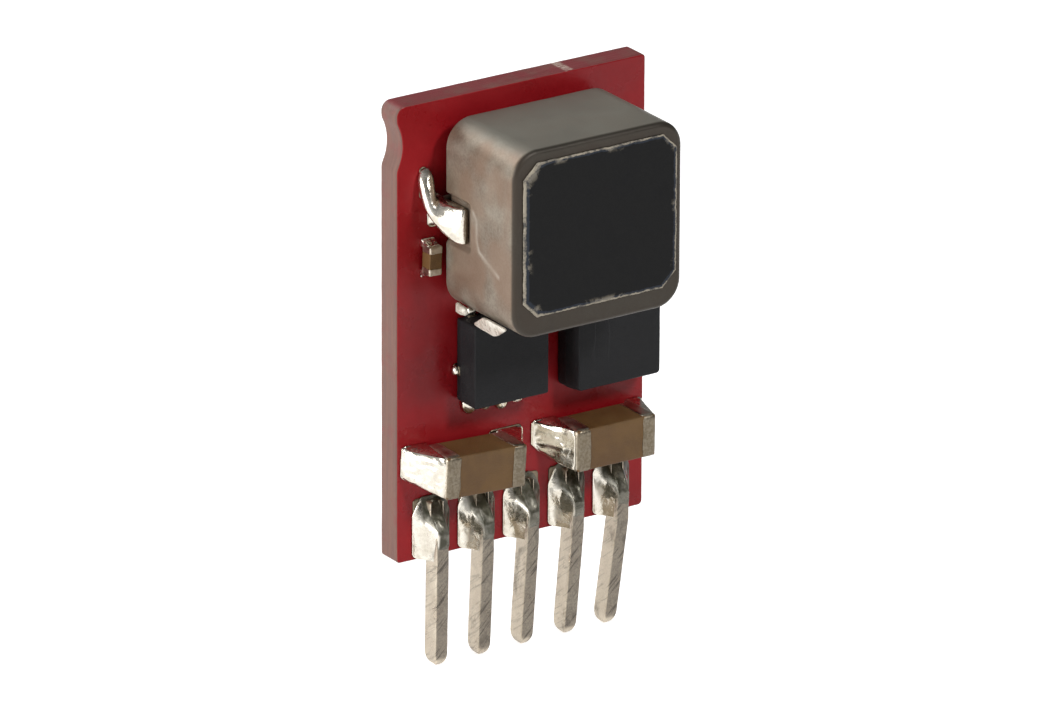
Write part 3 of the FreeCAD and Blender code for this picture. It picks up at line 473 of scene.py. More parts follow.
plainTin = {"along": (1.0, 1.0, 1.0), "turn": (0, 0, 0), "marks": 2.0, "metal": 1.0,
            "faceFrom": -8.0, "faceShade": 0.0, "hatch": 0.1}
# faceFrom and faceShade paint shade on the face that looks forwards; the dark colour there serves both dirt and that
# painted shade
tins = {
    "tinnedLand": {
        "tone": ((92, 80, 66), (138, 126, 108), 1.4, 9.0, 0.35), "soilAndShade": (70, 58, 46), "worn": 0.4, "depth": 0.3,
        "smudge": 0.5, "rough": 0.36, "bump": 0.006},
    "satinTin": {
        "tone": ((164, 153, 136), (208, 199, 182), 1.6, 11.0, 0.35), "soilAndShade": (92, 81, 64), "worn": 0.5, "depth": 0.35,
        "smudge": 0.45, "rough": 0.38, "bump": 0.008, "along": (1.0, 1.0, 0.5), "turn": (0, 0.5, 0), "marks": 2.4,
        "faceFrom": -1.1, "faceShade": 0.9, "hatch": 0.2},
    "drawnPinMetal": {
        "tone": ((176, 163, 145), (208, 197, 179), 1.2, 14.0, 0.35), "soilAndShade": (78, 73, 68), "worn": 0.95, "depth": 0.75,
        "smudge": 0.45, "rough": 0.34, "bump": 0.016, "along": (0.5, 0.5, 4.5), "turn": (0.6, 0.7, 0), "marks": 1.9,
        "faceFrom": -0.32, "faceShade": 0.74, "hatch": 0.95},
    # pale tin that shows bright under any light: partly bare tin, partly a painted highlight
    "tinAndHighlight": {
        "tone": ((196, 186, 170), (236, 230, 218), 2.6, 9.0, 0.35), "soilAndShade": (140, 130, 114), "worn": 0.3, "depth": 0.2,
        "smudge": 0.2, "rough": 0.3, "bump": 0.012, "metal": 0.25},
}
redLacquer = makeRedLacquer()
bareLaminate = makeBareLaminate()
tinnedLand, satinTin, pinMetal, tinAndHighlight = (makeTin(name, {**plainTin, **look}) for name, look in tins.items())
reflowedSolder = makeSolder()
mouldedPowder = makePowder()
labelInk = makeInk()
blackEpoxy = makeEpoxy()
firedCeramic = makeCeramic()
slotMaterials = {
    "board_laminate": redLacquer, "tinned_copper": tinnedLand, "pin_metal": pinMetal,
    "solder": reflowedSolder, "terminal_metal": satinTin, "powder_moulding": mouldedPowder,
    "label_ink": labelInk, "package_moulding": blackEpoxy, "chip_ceramic": firedCeramic,
}
for part in frame["record"]["subparts"]:
    node = cadNodes[part["node"]]
    node.data.materials.clear()
    node.data.materials.append(slotMaterials[part["material_slot"]])
print("materials made")

boardShape = {
    "corner": 0.35, "routed": 0.16, "edgeBreak": 0.035, "step": 0.12,
    "notchFrom": 0.48, "notchDepth": 0.22, "notchRadius": 1.7, "notchBlend": 0.4,
    "roughness": 0.012, "backSink": 0.02, "lip": 0.012,
}


def boardOutline(low, high, s):
    # the board's edge, anticlockwise as seen from behind, with the break-off notch in its left side
    points = []

    def arc(cx, cz, radius, start):
        for k in range(9):
            a = radians(start + 90.0 * k / 8)
            points.append((cx + radius * cos(a), cz + radius * sin(a)))

    def run(toX, toZ):
        fromX, fromZ = points[-1]
        pieces = max(2, round(hypot(toX - fromX, toZ - fromZ) / s["step"]))
        for k in range(1, pieces):
            points.append((fromX + (toX - fromX) * k / pieces, fromZ + (toZ - fromZ) * k / pieces))

    r, t = s["routed"], s["corner"]
    arc(high.x - r, high.z - r, r, 0)
    run(low.x + t, high.z)
    arc(low.x + t, high.z - t, t, 90)
    outer = s["notchRadius"] + s["notchBlend"]
    halfSpan = sqrt(outer ** 2 - (outer - s["notchDepth"]) ** 2)
    middle = high.z - s["notchFrom"] - halfSpan
    run(low.x, middle - halfSpan - 0.5)
    points[:] = [(x + notchInset(z, middle, halfSpan, s) if x < low.x + 0.02 else x, z) for x, z in points]
    run(low.x, low.z + r)
    arc(low.x + r, low.z + r, r, 180)
    run(high.x - r, low.z)
    arc(high.x - r, low.z + r, r, 270)
    run(high.x, high.z - r)
    return points


def notchInset(z, middle, halfSpan, s):
    off = abs(z - middle)
    if off >= halfSpan:
        return 0.0
    outer = s["notchRadius"] + s["notchBlend"]
    touch = halfSpan * s["notchRadius"] / outer
    if off <= touch:
        return s["notchDepth"] - s["notchRadius"] + sqrt(s["notchRadius"] ** 2 - off ** 2)
    return s["notchBlend"] - sqrt(max(0.0, s["notchBlend"] ** 2 - (halfSpan - off) ** 2))


def makeBoard(s):
    # rings of the outline from front to back; the cut edge between the two lacquered faces stays bare
    low, high = ends("board")
    outline = boardOutline(low, high, s)
    inward = []
    for k in range(len(outline)):
        tangent = (Vector(outline[(k + 1) % len(outline)]) - Vector(outline[k - 1])).normalized()
        inward.append((-tangent.y, tangent.x))
    edge, back = s["edgeBreak"], high.y - s["backSink"]
    steps = [(low.y, edge * 1.6), (low.y + s["lip"], edge * 0.6), (low.y + edge, 0.0)]
    steps += [(low.y + 0.1 * k, 0.0) for k in range(1, 10)]
    steps += [(back - edge, 0.0), (back - s["lip"], edge * 0.6), (back, edge * 1.6)]
    rings = []
    for y, inset in steps:
        ring = []
        for (x, z), (intoX, intoZ) in zip(outline, inward):
            d = inset + s["roughness"] * (0.5 + 0.5 * wave(x * 2.3, y * 9.0, z * 2.3))
            ring.append((x + intoX * d, y, z + intoZ * d))
        rings.append(ring)
    bm = bmesh.new()
    made = skin(bm, rings, False, False)
    bm.faces.new(list(reversed(made[0])))
    bm.faces.new(made[-1])
    board = meshFrom("circuitBoard", bm, redLacquer)
    board.data.materials.append(bareLaminate)
    for face in board.data.polygons:
        face.material_index = 1 if (low.y + 0.02) * toMetres < face.center.y < (back - 0.015) * toMetres else 0
        face.use_smooth = abs(face.normal.y) < 0.99
    return dress(board, "board_laminate", "board")


makeBoard(boardShape)
print("board made")

inductorShape = {
    "corner": 0.98, "frontRound": 0.2, "rearChamfer": 0.32, "step": 0.07, "cornerSteps": 22, "ripple": 0.012,
    "pocketLow": 11.64, "pocketHigh": 13.3, "pocketFront": -1.5, "pocketDepth": 0.2, "pocketEdge": 0.06,
    "pressLine": ((-1.75, 13.15), (-1.98, 12.9), (-2.0, 12.2), (-2.15, 11.85), (-3.3, 11.3)),
}


def nearSegment(point, a, b):
    run = b - a
    t = min(1.0, max(0.0, (point - a).dot(run) / run.length_squared))
    return (point - a - run * t).length


def makeInductorBody(s):
    # the profile runs from the rear face over the sides to the front face: place, and how far in
    low, high = ends("inductor_body")
    middle = (low + high) / 2
    width, height = high.x - low.x, high.z - low.z
    chamfer, r = s["rearChamfer"], s["frontRound"]
    profile = [(high.y, chamfer + d) for d in (2.2, 1.0, 0.3, 0.05)] + [(high.y - 0.02, chamfer - 0.01)]
    profile += [(high.y - chamfer * k / 4, chamfer * (1 - k / 4)) for k in range(1, 4)]
    y = high.y - chamfer
    while y > low.y + r + 0.02:
        profile.append((y, 0.0))
        y -= s["step"]
    profile += [(low.y + r - r * sine, r - r * cosine) for sine, cosine in quarter(8)]
    profile += [(low.y, r + 0.07 * k) for k in range(1, 10)]
    profile += [(low.y, r + d) for d in (1.0, 1.5, 2.2)]
    edge = s["corner"] - 0.1     # further in than this the rings shrink towards the middle
    rings = []
    for y, inset in profile:
        ring = []
        share = 1 - max(0.0, inset - edge) / (min(width, height) / 2 - edge)
        for x, z, nx, nz in roundedLoop(width, height, s["corner"], s["cornerSteps"], s["step"]):
            x = middle.x + (x - nx * min(inset, edge)) * share
            z = middle.z + (z - nz * min(inset, edge)) * share
            d = s["ripple"] * (0.5 + 0.5 * noise.noise(Vector((x, y, z)) * 0.8))
            if abs(nx) > 0.99:
                d += s["pocketDepth"] * within(z, s["pocketLow"], s["pocketHigh"], s["pocketEdge"]) \
                    * smoothStep(s["pocketFront"] - s["pocketEdge"], s["pocketFront"], y)
            ring.append((x - nx * d, y + (0.01 if y == low.y else 0.0), z - nz * d))
        rings.append(ring)
    bm = bmesh.new()
    layer = bm.verts.layers.float.new("worn")
    skin(bm, rings)
    line = [Vector(p) for p in s["pressLine"]]
    for v in bm.verts:
        if v.co.x < low.x + 0.25:
            here = Vector((v.co.y, v.co.z))
            gap = min(nearSegment(here, a, b) for a, b in zip(line, line[1:]))
            v[layer] = max(0.0, 1 - gap / 0.13) ** 1.3 * (0.45 + 0.6 * noise.noise(v.co * 1.7))
            v.co.x += 0.02 * max(0.0, 1 - gap / 0.12)
    return dress(meshFrom("inductorBody", bm, mouldedPowder), "powder_moulding", "inductor_body")


makeInductorBody(inductorShape)
print("inductor made")

pinShape = {
    "leans": (0.9, 2.4, 4.0, 5.1, 8.0), "spacing": 1.85, "width": 0.5, "depth": 0.75,
    "round": 0.07, "tip": 0.5, "wedge": 1.3, "wedgeCut": 1.9, "step": 0.12,
}
pinJointShape = {
    "land": 0.41, "height": 0.835, "flank": 0.2, "foot": 0.86, "roofFrom": 0.95, "shoulderRound": 0.22,
    "shoulderDrop": 0.16, "hollow": 1.9, "swell": 0.95, "film": 0.02, "wrinkle": 0.035, "corner": 0.24,
    "arch": 0.4, "rings": 46, "step": 0.05,
}


def makePin(number, s):
    # rings of the strip's section from its wedge-shaped upper end to the coined tip
    low, high = ends("pin_%d" % number)
    centre = (number - 3) * s["spacing"]
    lean = tan(radians(s["leans"][number - 1]))
    heights = [high.z - d for d in (0.01, 0.05, 0.12)]
    z = high.z - 0.24
    while z > low.z + s["tip"] + 0.05:
        heights.append(z)
        z -= s["step"]
    heights += [low.z + s["tip"] * (1 - sine) for sine, _ in quarter(12)]
    rings = []
    for z in heights:
        fall = max(0.0, low.z + s["tip"] - z) / s["tip"]
        close = max(0.1, sqrt(max(0.0, 1 - fall ** 2.2)))
        inset = 0.05 * max(0.0, 1 - (high.z - z) / 0.05)
        kx, ky = close * (1 - 2 * inset / s["width"]), close * (1 - 2 * inset / s["depth"])
        wedge = s["wedgeCut"] * smoothStep(high.z - s["wedge"], high.z + 0.1, z)
        shift = z * lean if z < 0 else 0.0
        ring = []
        for x, y, nx, _ in roundedLoop(s["width"], s["depth"], s["round"], 4, 0.1):
            dent = 0.008 * wave(x * 3 + number * 5.0, y * 3, z * 1.1)
            y *= ky * (1 - wedge if y < 0 else 1)
            ring.append((centre + shift + (x + nx * dent) * kx, min(y, s["depth"] / 2), z))
        rings.append(ring)
    return pieceFrom("pin%d" % number, rings, pinMetal, "pin_metal", "pin_%d" % number)


def relief(name, centre, size, corner, base, heightAt, residueAndShadeAt, material, rings=36, step=0.05, arch=0.0):
    # a joint drawn as heights over its land: the outline closes in ring by ring on its middle
    loop = roundedLoop(size[0], size[1], corner, 9, step)
    made, tones = [], []
    for k in range(rings):
        share = 1 - (max(0.0, k - 0.9) / rings) ** 1.1
        ring, tone = [], []
        for x, z, _, _ in loop:
            x *= 1 - arch * smoothStep(0.35, 1.1, 2 * z / size[1])
            lx, lz = x * share, z * share
            rise = -0.045 if k == 0 else max(0.0, heightAt(lx, lz))
            ring.append((centre[0] + lx, base - rise, centre[1] + lz))
            tone.append(residueAndShadeAt(lx, lz))
        made.append(ring)
        tones.append(tone)
    bm = bmesh.new()
    layer = bm.verts.layers.float.new("residueAndShade")
    for verts, tone in zip(skin(bm, made), tones):
        for v, value in zip(verts, tone):
            v[layer] = value
    bm.verts.ensure_lookup_table()
    bm.verts[-1][layer] = residueAndShadeAt(0.0, 0.0)
    return meshFrom(name, bm, material)


def makePinJoint(number, s):
    low, high = ends("pin_%d_solder" % number)
    middle = (low + high) / 2
    half = (high.x - low.x) / 2
    seed = number * 11.3

    def heightAt(lx, lz):
        # full height over the pin, a roof that falls to the board above it, and a flank at each side that is
        # hollow below and swells to a dome above
        z = lz + middle.z
        roof = 1 - 0.98 * smoothStep(s["roofFrom"], high.z + 0.1, z)
        foot = s["foot"] + (1 - s["foot"]) * smoothStep(0.3, 0.75, z)
        full = smoothStep(0.55, 1.5, z)
        out = max(0.0, abs(lx) - s["flank"])
        t = min(1.0, out / (half - s["flank"]))
        dome = 1 - s["shoulderDrop"] * min(1.0, out / s["shoulderRound"]) ** 2
        side = dome * (1 - t) ** (s["hollow"] * (1 - full) + s["swell"] * full)
        ripple = wave(lx * 2.6 + seed, z * 2.2, seed) * s["wrinkle"] * (1 - 0.6 * t)
        skew = 0.1 * wave(seed, lx * 1.4, z * 1.2) * min(1.0, out / 0.2) * (1 - t)
        return min(s["height"] - 0.004, max(s["film"], s["height"] * roof * foot * side + (ripple + skew) * roof))

    def residueAndShadeAt(lx, lz):
        # solder residue and painted shade dull the front, the roof and the right flank; the left flank, which faces
        # the left light, stays bright
        z = lz + middle.z
        edge = -s["flank"] - 0.04 + 0.08 * wave(z * 2.0, seed, 1.0) - 0.25 * smoothStep(1.0, 1.6, z)
        return smoothStep(edge - 0.02, edge + 0.1, lx)

    joint = relief("pinJoint%d" % number, (middle.x, middle.z), (high.x - low.x, high.z - low.z), s["corner"],
                   s["land"], heightAt, residueAndShadeAt, reflowedSolder, s["rings"], s["step"], s["arch"])
    return dress(joint, "solder", "pin_%d_solder" % number)


for number in range(1, 6):
    makePin(number, pinShape)
    makePinJoint(number, pinJointShape)
print("pins and their joints made")

landShape = {
    "inset": 0.07, "corner": 0.14, "front": 0.415, "back": 0.47, "least": 0.12, "hookAbove": 13.5, "hookLow": 13.0,
    "hookWide": 0.45, "cutAt": (-4.95, 0.37), "cutFrom": (2.3, 2.8), "cutShare": 0.6,
    "trimTo": (3.9, 4.6), "trim": 0.14,
}


def makeLands(s):
    # one low rounded pad on each land of the drawing, found as its loose flat faces
    source = cadNodes["board_lands"].data
    group = list(range(len(source.vertices)))

    def root(k):
        while group[k] != k:
            group[k] = group[group[k]]
            k = group[k]
        return k

    for a, b in source.edge_keys:
        group[root(a)] = root(b)
    blocks = {}
    for k, v in enumerate(source.vertices):
        blocks.setdefault(root(k), []).append(v.co * 1000.0)
    boxes = {tuple(round(pick(p[axis] for p in points), 2) for axis in (0, 2) for pick in (min, max))
             for points in blocks.values()}
    bm = bmesh.new()
    for x0, x1, z0, z1 in sorted(boxes):
        if min(x1 - x0, z1 - z0) < s["least"]:
            continue
        if z1 > s["hookAbove"]:     # under the inductor's joints only the part below the hook's tail stays bare
            z0 = s["hookLow"]
            x0, x1 = (x0, x0 + s["hookWide"]) if x0 < 0 else (x1 - s["hookWide"], x1)
        if s["cutFrom"][0] < z0 < s["cutFrom"][1] and any(abs(x0 - x) < 0.35 for x in s["cutAt"]):
            z0 += s["cutShare"] * (z1 - z0)
        if s["trimTo"][0] < z1 < s["trimTo"][1]:
            z1 -= s["trim"]
        inset = min(s["inset"], 0.2 * min(x1 - x0, z1 - z0))
        loop = roundedLoop(x1 - x0 - 2 * inset, z1 - z0 - 2 * inset, s["corner"], 5, 0.25)
        cx, cz = (x0 + x1) / 2, (z0 + z1) / 2
        skin(bm, [[(cx + x - nx * d, y, cz + z - nz * d) for x, z, nx, nz in loop]
                  for y, d in ((s["back"], 0.0), (s["front"] + 0.02, 0.0), (s["front"], 0.02), (s["front"], 0.04))])
    return dress(meshFrom("boardLands", bm, tinnedLand), "tinned_copper", "board_lands")


makeLands(landShape)
print("lands made")

largeChip = {"length": 3.3, "width": 1.6, "band": 0.56, "plating": 0.05, "round": 0.19, "foot": 0.38,
             "ends": ("left", "right"), "joints": 34}
chipShapes = {
    "input_capacitor": {
        **largeChip, "name": "inputCapacitor", "x": -2.45, "z": 3.35, "tilt": -2.8, "skirts": (0.82, 0.82),
        "climb": (1.5, 1.34), "fullness": (0.85, 1.1), "cutCorner": (0.6, 0.0), "seed": 3.0},
    "output_capacitor": {
        **largeChip, "name": "outputCapacitor", "x": 2.87, "z": 3.26, "tilt": -0.5, "skirts": (0.82, 0.44),
        "climb": (1.46, 1.4), "fullness": (1.7, 0.9), "cutCorner": (0.95, 0.0), "seed": 9.0},
    "small_capacitor": {
        "name": "smallCapacitor", "x": -3.84, "z": 10.95, "tilt": 88.0, "length": 1.05, "width": 0.52, "band": 0.25,
        "plating": 0.02, "round": 0.06, "foot": 0.38, "ends": ("lower", "upper"), "joints": 16,
        "skirts": (0.15, 0.15), "climb": (0.42, 0.42), "fullness": (1.2, 1.2), "cutCorner": (0.0, 0.0), "seed": 15.0},
}
largeWidth = 1.6


def chipPlace(s):
    # a chip is drawn with its length along X and its foot at y = 0, then turned in the board's plane and set down
    return Matrix.Translation((s["x"], s["foot"], s["z"])) @ Matrix.Rotation(radians(-s["tilt"]), 4, "Y")


def makeChip(node, s):
    outer, plating, scale = s["width"], s["plating"], s["width"] / largeWidth
    edge, half = 0.045 * scale, s["length"] / 2 - plating
    section = roundedLoop(outer - 2 * plating, outer - 2 * plating, 0.05 * scale, 4, 0.1 * scale)
    rings = []
    for x in [-half, -half + edge * 0.3, -half + edge] + [-half + (2 * half) * t / 24 for t in range(1, 24)] \
            + [half - edge, half - edge * 0.3, half]:
        inset = edge * (1 - min(1.0, (half - abs(x)) / edge)) ** 2
        rings.append([(x, -outer / 2 + y - ny * inset, z - nz * inset) for y, z, ny, nz in section])
    pieceFrom(s["name"] + "Block", rings, firedCeramic, "chip_ceramic", node + "_ceramic", place=chipPlace(s))
    for number, (side, end) in enumerate(zip((-1, 1), s["ends"])):
        makeChipCup(node, s, side, end, scale)
        makeChipJoint(node, s, number, side, end, scale)


def makeChipCup(node, s, side, end, scale):
    # stations of a plated end: place along the chip, how far in, and how wavy its edge is
    outer, r, lip, wavy = s["width"], s["round"], s["band"], 0.06 * scale
    tip, inner = s["length"] / 2, s["plating"] + 0.004
    stations = [
        (tip - s["plating"], inner + 0.3 * scale, 0.0), (tip - s["plating"], inner + 0.02 * scale, 0.0),
        (tip - s["plating"] - 0.02 * scale, inner, 0.0), (tip - lip, inner, wavy),
        (tip - lip - 0.012 * scale, s["plating"] * 0.55, wavy), (tip - lip + 0.012 * scale, s["plating"] * 0.12, wavy)]
    stations += [(tip - lip + (lip - r) * k / 8, 0.0, 0.0) for k in range(1, 8)]
    stations += [(tip - r + r * sine - 0.004 * scale, r * (1 - cosine), 0.0) for sine, cosine in quarter(6)]
    stations += [(tip - 0.004 * scale + 0.01 * scale * inset, inset * scale, 0.0) for inset in (0.22, 0.34, 0.5)]
    rings = []
    for x, inset, wavy in stations:
        ring = []
        for y, z, ny, nz in roundedLoop(outer, outer, r, 7, 0.09 * scale):
            shift = wavy * wave(y * 2.2 / scale, z * 2.2 / scale, s["seed"] + side)
            lump = 0.016 * scale * wave(x * 2.5 / scale, y * 2.5 / scale, z * 2.5 / scale + s["seed"])
            d = inset + 0.012 * scale - lump
            ring.append((side * (x + shift), -outer / 2 + y - ny * d, z - nz * d))
        rings.append(ring)
    pieceFrom("%sCup%s" % (s["name"], end.capitalize()), rings, satinTin, "terminal_metal",
              "%s_%s_terminal" % (node, end), place=chipPlace(s))


def makeChipJoint(node, s, number, side, end, scale):
    # solder that climbs from the land up the end of the chip, hollow or full, wrinkled as it froze
    skirt, climb, fullness, cut = (s[key][number] for key in ("skirts", "climb", "fullness", "cutCorner"))
    wide, seed, reach = s["width"], s["seed"] + side * 2.7, skirt + 0.5 * s["band"]
    rings = []
    for k in range(s["joints"]):
        share = 1 - (max(0.0, k - 0.9) / s["joints"]) ** 1.1
        rim = smoothStep(0.0, 0.12, 1 - share)
        ring = []
        for lx, lz, _, _ in roundedLoop(reach, wide, 0.16 * scale, 8, 0.05 * max(scale, 0.5)):
            lx, lz = lx * share, lz * share
            out = reach / 2 - lx * side     # 0 at the far end, reach under the chip
            t = min(1.0, out / skirt)
            across = abs(lz) / (wide / 2)
            if lz < 0:
                lz *= 1 - cut * (1 - t) ** 1.1
            rise = t ** fullness * (1 - max(0.0, across - 0.5) ** 2 * 2.2 * (1.15 - t))
            ripple = sum(size * wave(lx * fine / scale + seed, lz * fine / scale, seed)
                         for size, fine in ((0.1, 2.4), (0.045, 5.5)))
            fade = 1 - 0.8 * smoothStep(skirt + 0.1 * scale, reach, out)
            rise = (rise + ripple * (1 - abs(2 * t - 1) ** 3)) * fade
            lift = max(0.02, climb * max(0.0, rise) * rim) if k else -0.045
            ring.append((side * (s["length"] / 2 + skirt - out), 0.03 - lift, lz))
        rings.append(ring)
    pieceFrom("%sJoint%s" % (s["name"], end.capitalize()), rings, reflowedSolder, "solder",
              "%s_%s_solder" % (node, end), place=chipPlace(s))


for node, shape in chipShapes.items():
    makeChip(node, shape)
print("capacitors made")

packageShapes = {
    "regulator_package": {"name": "regulatorPackage", "corner": 0.03, "frontEdge": 0.045, "draft": 0.0,
                          "parting": 0.2, "foot": 0.012, "seed": 21.0},
    "power_stage_package": {"name": "powerStagePackage", "corner": 0.18, "frontEdge": 0.06, "draft": 0.1,
                            "parting": 0.5, "foot": 0.0, "seed": 27.0},
}


def makePackage(node, s):
    # the profile runs from the foot over the parting line to the front face: height, and how far in
    low, high = ends(node)
    middle = (low + high) / 2
    wide, tall, thick = high.x - low.x, high.z - low.z, high.y - low.y
    reach, r, foot, parting = s["corner"] + 0.02, s["frontEdge"], s["foot"], s["parting"]
    start, top = parting + 0.015, thick - r
    profile = [(0.0, foot + 1.0), (0.0, foot + 0.5), (0.0, foot + 0.05), (0.0, foot + 0.012), (0.012, foot),
               (parting - 0.012, foot), (parting, foot * 0.3), (start, 0.006)]
    for k in range(1, 10):
        rise = start + (top - start) * k / 9
        profile.append((rise, s["draft"] * (rise - parting) / (thick - parting)))
    drawn = profile[-1][1]
    profile += [(top + r * sine, drawn + r * (1 - cosine)) for sine, cosine in quarter(5)[1:]]
    last = profile[-1][1]
    profile += [(thick, last + d) for d in (0.06, 0.3, 0.7, 1.1)]
    rings = []
    for rise, inset in profile:
        ring = []
        for x, z, nx, nz in roundedLoop(wide, tall, s["corner"] + 0.05, 6, 0.12):
            wear = 0.006 * wave(x * 2.0 + s["seed"], rise * 4, z * 2.0)
            offset = min(inset, reach) + wear + 0.004
            shrink = 1 - max(0.0, inset - reach) * 2 / min(wide, tall)
            px, pz = (x - nx * offset) * shrink, (z - nz * offset) * shrink
            ring.append((middle.x + px, high.y - min(rise, thick - 0.001), middle.z + pz))
        rings.append(ring)
    return pieceFrom(s["name"], rings, blackEpoxy, "package_moulding", node)


for node, shape in packageShapes.items():
    makePackage(node, shape)
print("packages made")

toeRows = (
    # middle of the row (x, z), whether it runs across, count, spacing, toe's width, height, reach
    (-1.17, 5.3, True, 4, 0.65, 0.64, 0.2, 0.5),
    (-1.17, 8.64, True, 4, 0.65, 0.5, 0.24, 0.34),
    (-2.72, 6.62, False, 1, 0.65, 0.36, 0.2, 0.16),
    (0.38, 6.62, False, 1, 0.65, 0.36, 0.2, 0.16),
)
viaField = {"rows": 5, "columns": 4, "spacing": 0.95, "radius": 0.2, "rise": 0.019, "hole": 0.07,
            "middle": (2.9, 6.9)}


def placeOnPoints(w, points, piece, material, out, scale=(1.0, 1.0, 1.0)):
    # the piece on each point, made real and given its material
    spread = w.put("GeometryNodeInstanceOnPoints", {"Points": points, "Instance": piece, "Scale": scale})
    real = w.put("GeometryNodeRealizeInstances", {0: spread})
    w.feed(out[0], w.put("GeometryNodeSetMaterial", {"Geometry": real, "Material": material}))


def randomVector(w, low, high, seed):
    return w.put("FunctionNodeRandomValue", {0: low, 1: high, "Seed": seed}, data_type="FLOAT_VECTOR")


def makeToeTree():
    # a row of small drops: a line of points, a ball on each, sized at random
    tree, w, given, out = newTree("solderToes", "GeometryNodeTree", [
        ("Geometry", "Geometry"), ("Count", "Int", 4), ("Spacing", "Float", 0.65), ("Width", "Float", 0.5),
        ("Height", "Float", 0.2), ("Reach", "Float", 0.3), ("Seed", "Int", 3), ("Material", "Material"),
    ], [("Geometry", "Geometry")])
    start = w.times(w.times(w.minus(given["Count"], 1.0), given["Spacing"]), -0.5)
    line = w.put("GeometryNodeMeshLine", {
        "Count": given["Count"], "Offset": w.along(X=given["Spacing"]), "Start Location": w.along(X=start)})
    ball = w.put("GeometryNodeMeshUVSphere", {"Segments": 20, "Rings": 12, "Radius": 0.5})
    size = w.along(X=given["Width"], Y=w.times(given["Height"], 2.0), Z=w.times(given["Reach"], 2.0))
    vary = randomVector(w, (0.8, 0.75, 0.7), (1.1, 1.1, 1.15), given["Seed"])
    scale = w.put("ShaderNodeVectorMath", {0: size, 1: vary}, operation="MULTIPLY")
    placeOnPoints(w, line, ball, given["Material"], out, scale)
    return tree


def makeViaTree():
    # a field of lacquered vias: a low ring with a dimple on each point of a grid
    tree, w, given, out = newTree("lacqueredVias", "GeometryNodeTree", [
        ("Geometry", "Geometry"), ("Columns", "Int", 4), ("Rows", "Int", 5), ("Spacing", "Float", 0.95),
        ("Radius", "Float", 0.17), ("Rise", "Float", 0.012), ("Hole", "Float", 0.07), ("Seed", "Int", 5),
        ("Material", "Material"),
    ], [("Geometry", "Geometry")])
    across, down = (w.times(w.minus(given[count], 1.0), given["Spacing"]) for count in ("Columns", "Rows"))
    grid = w.put("GeometryNodeMeshGrid", {
        "Vertices X": given["Columns"], "Vertices Y": given["Rows"], "Size X": across, "Size Y": down})
    crest = w.times(given["Radius"], 0.78)
    join = w.add("GeometryNodeJoinGeometry")
    for fill, foot in (("NONE", "Radius"), ("NGON", "Hole")):
        w.feed(join.inputs[0], w.put("GeometryNodeMeshCone", {
            "Vertices": 18, "Radius Top": crest, "Radius Bottom": given[foot],
            "Depth": given["Rise"]}, fill_type=fill))
    weld = w.put("GeometryNodeMergeByDistance", {0: join.outputs[0], "Distance": 0.001})
    nudge = randomVector(w, (-0.02, -0.02, 0.0), (0.02, 0.02, 0.0), given["Seed"])
    moved = w.put("GeometryNodeSetPosition", {"Geometry": grid, "Offset": nudge})
    placeOnPoints(w, moved, weld, given["Material"], out)
    return tree


def grow(name, tree, values):
    # runs a tree once and keeps its result as plain mesh data, in millimetres
    obj = bpy.data.objects.new(name, bpy.data.meshes.new(name + "Seed"))
    bpy.context.scene.collection.objects.link(obj)
    modifier = obj.modifiers.new("grow", "NODES")
    modifier.node_group = tree
    for item in tree.interface.items_tree:
        if item.in_out == "INPUT" and item.name in values:
            modifier[item.identifier] = values[item.name]
    bpy.context.view_layer.update()
    graph = bpy.context.evaluated_depsgraph_get()
    data = bpy.data.meshes.new_from_object(obj.evaluated_get(graph))
    bpy.data.objects.remove(obj)
    return data


def makeToes(rows):
    tree = makeToeTree()
    bm = bmesh.new()
    for seed, (x, z, across, count, spacing, width, height, reach) in enumerate(rows):
        data = grow("toeRow%d" % seed, tree, {"Count": count, "Spacing": spacing, "Width": width, "Height": height,
                                              "Reach": reach, "Seed": seed + 4, "Material": reflowedSolder})
        turn = Matrix() if across else Matrix.Rotation(radians(90), 4, "Y")
        data.transform(Matrix.Translation((x, 0.4, z)) @ turn)
        bm.from_mesh(data)
        bpy.data.meshes.remove(data)
    for v in bm.verts:
        v.co.y = min(v.co.y, 0.405)
        v.co += Vector((0, 1, 0)) * 0.02 * noise.noise(v.co * 4.0) * (1 if v.co.y < 0.38 else 0)
    return dress(meshFrom("regulatorToes", bm, reflowedSolder), "solder", "regulator_solder")


def makeVias(s):
    back = ends("board")[1].y - boardShape["backSink"]
    data = grow("viaField", makeViaTree(), {
        "Columns": s["columns"], "Rows": s["rows"], "Spacing": s["spacing"], "Radius": s["radius"],
        "Rise": s["rise"], "Hole": s["hole"], "Seed": 7, "Material": redLacquer})
    turn = Matrix.Rotation(radians(-90), 4, "X")
    data.transform(Matrix.Translation((s["middle"][0], back - 0.002, s["middle"][1])) @ turn)
    bm = bmesh.new()
    bm.from_mesh(data)
    bpy.data.meshes.remove(data)
    return dress(meshFrom("backVias", bm, redLacquer, False), "board_laminate")


makeToes(toeRows)
makeVias(viaField)
print("solder toes and vias grown")

labelShape = {
    "cut": 0.56, "ragged": 0.035, "step": 0.04, "rings": (0.0, 0.02, 0.04, 0.06, 0.08, 0.1, 0.12, 0.14, 0.17, 0.2),
    "shrink": (0.97, 0.93, 0.88, 0.8, 0.7, 0.6, 0.4, 0.2), "turnOver": 4,
}


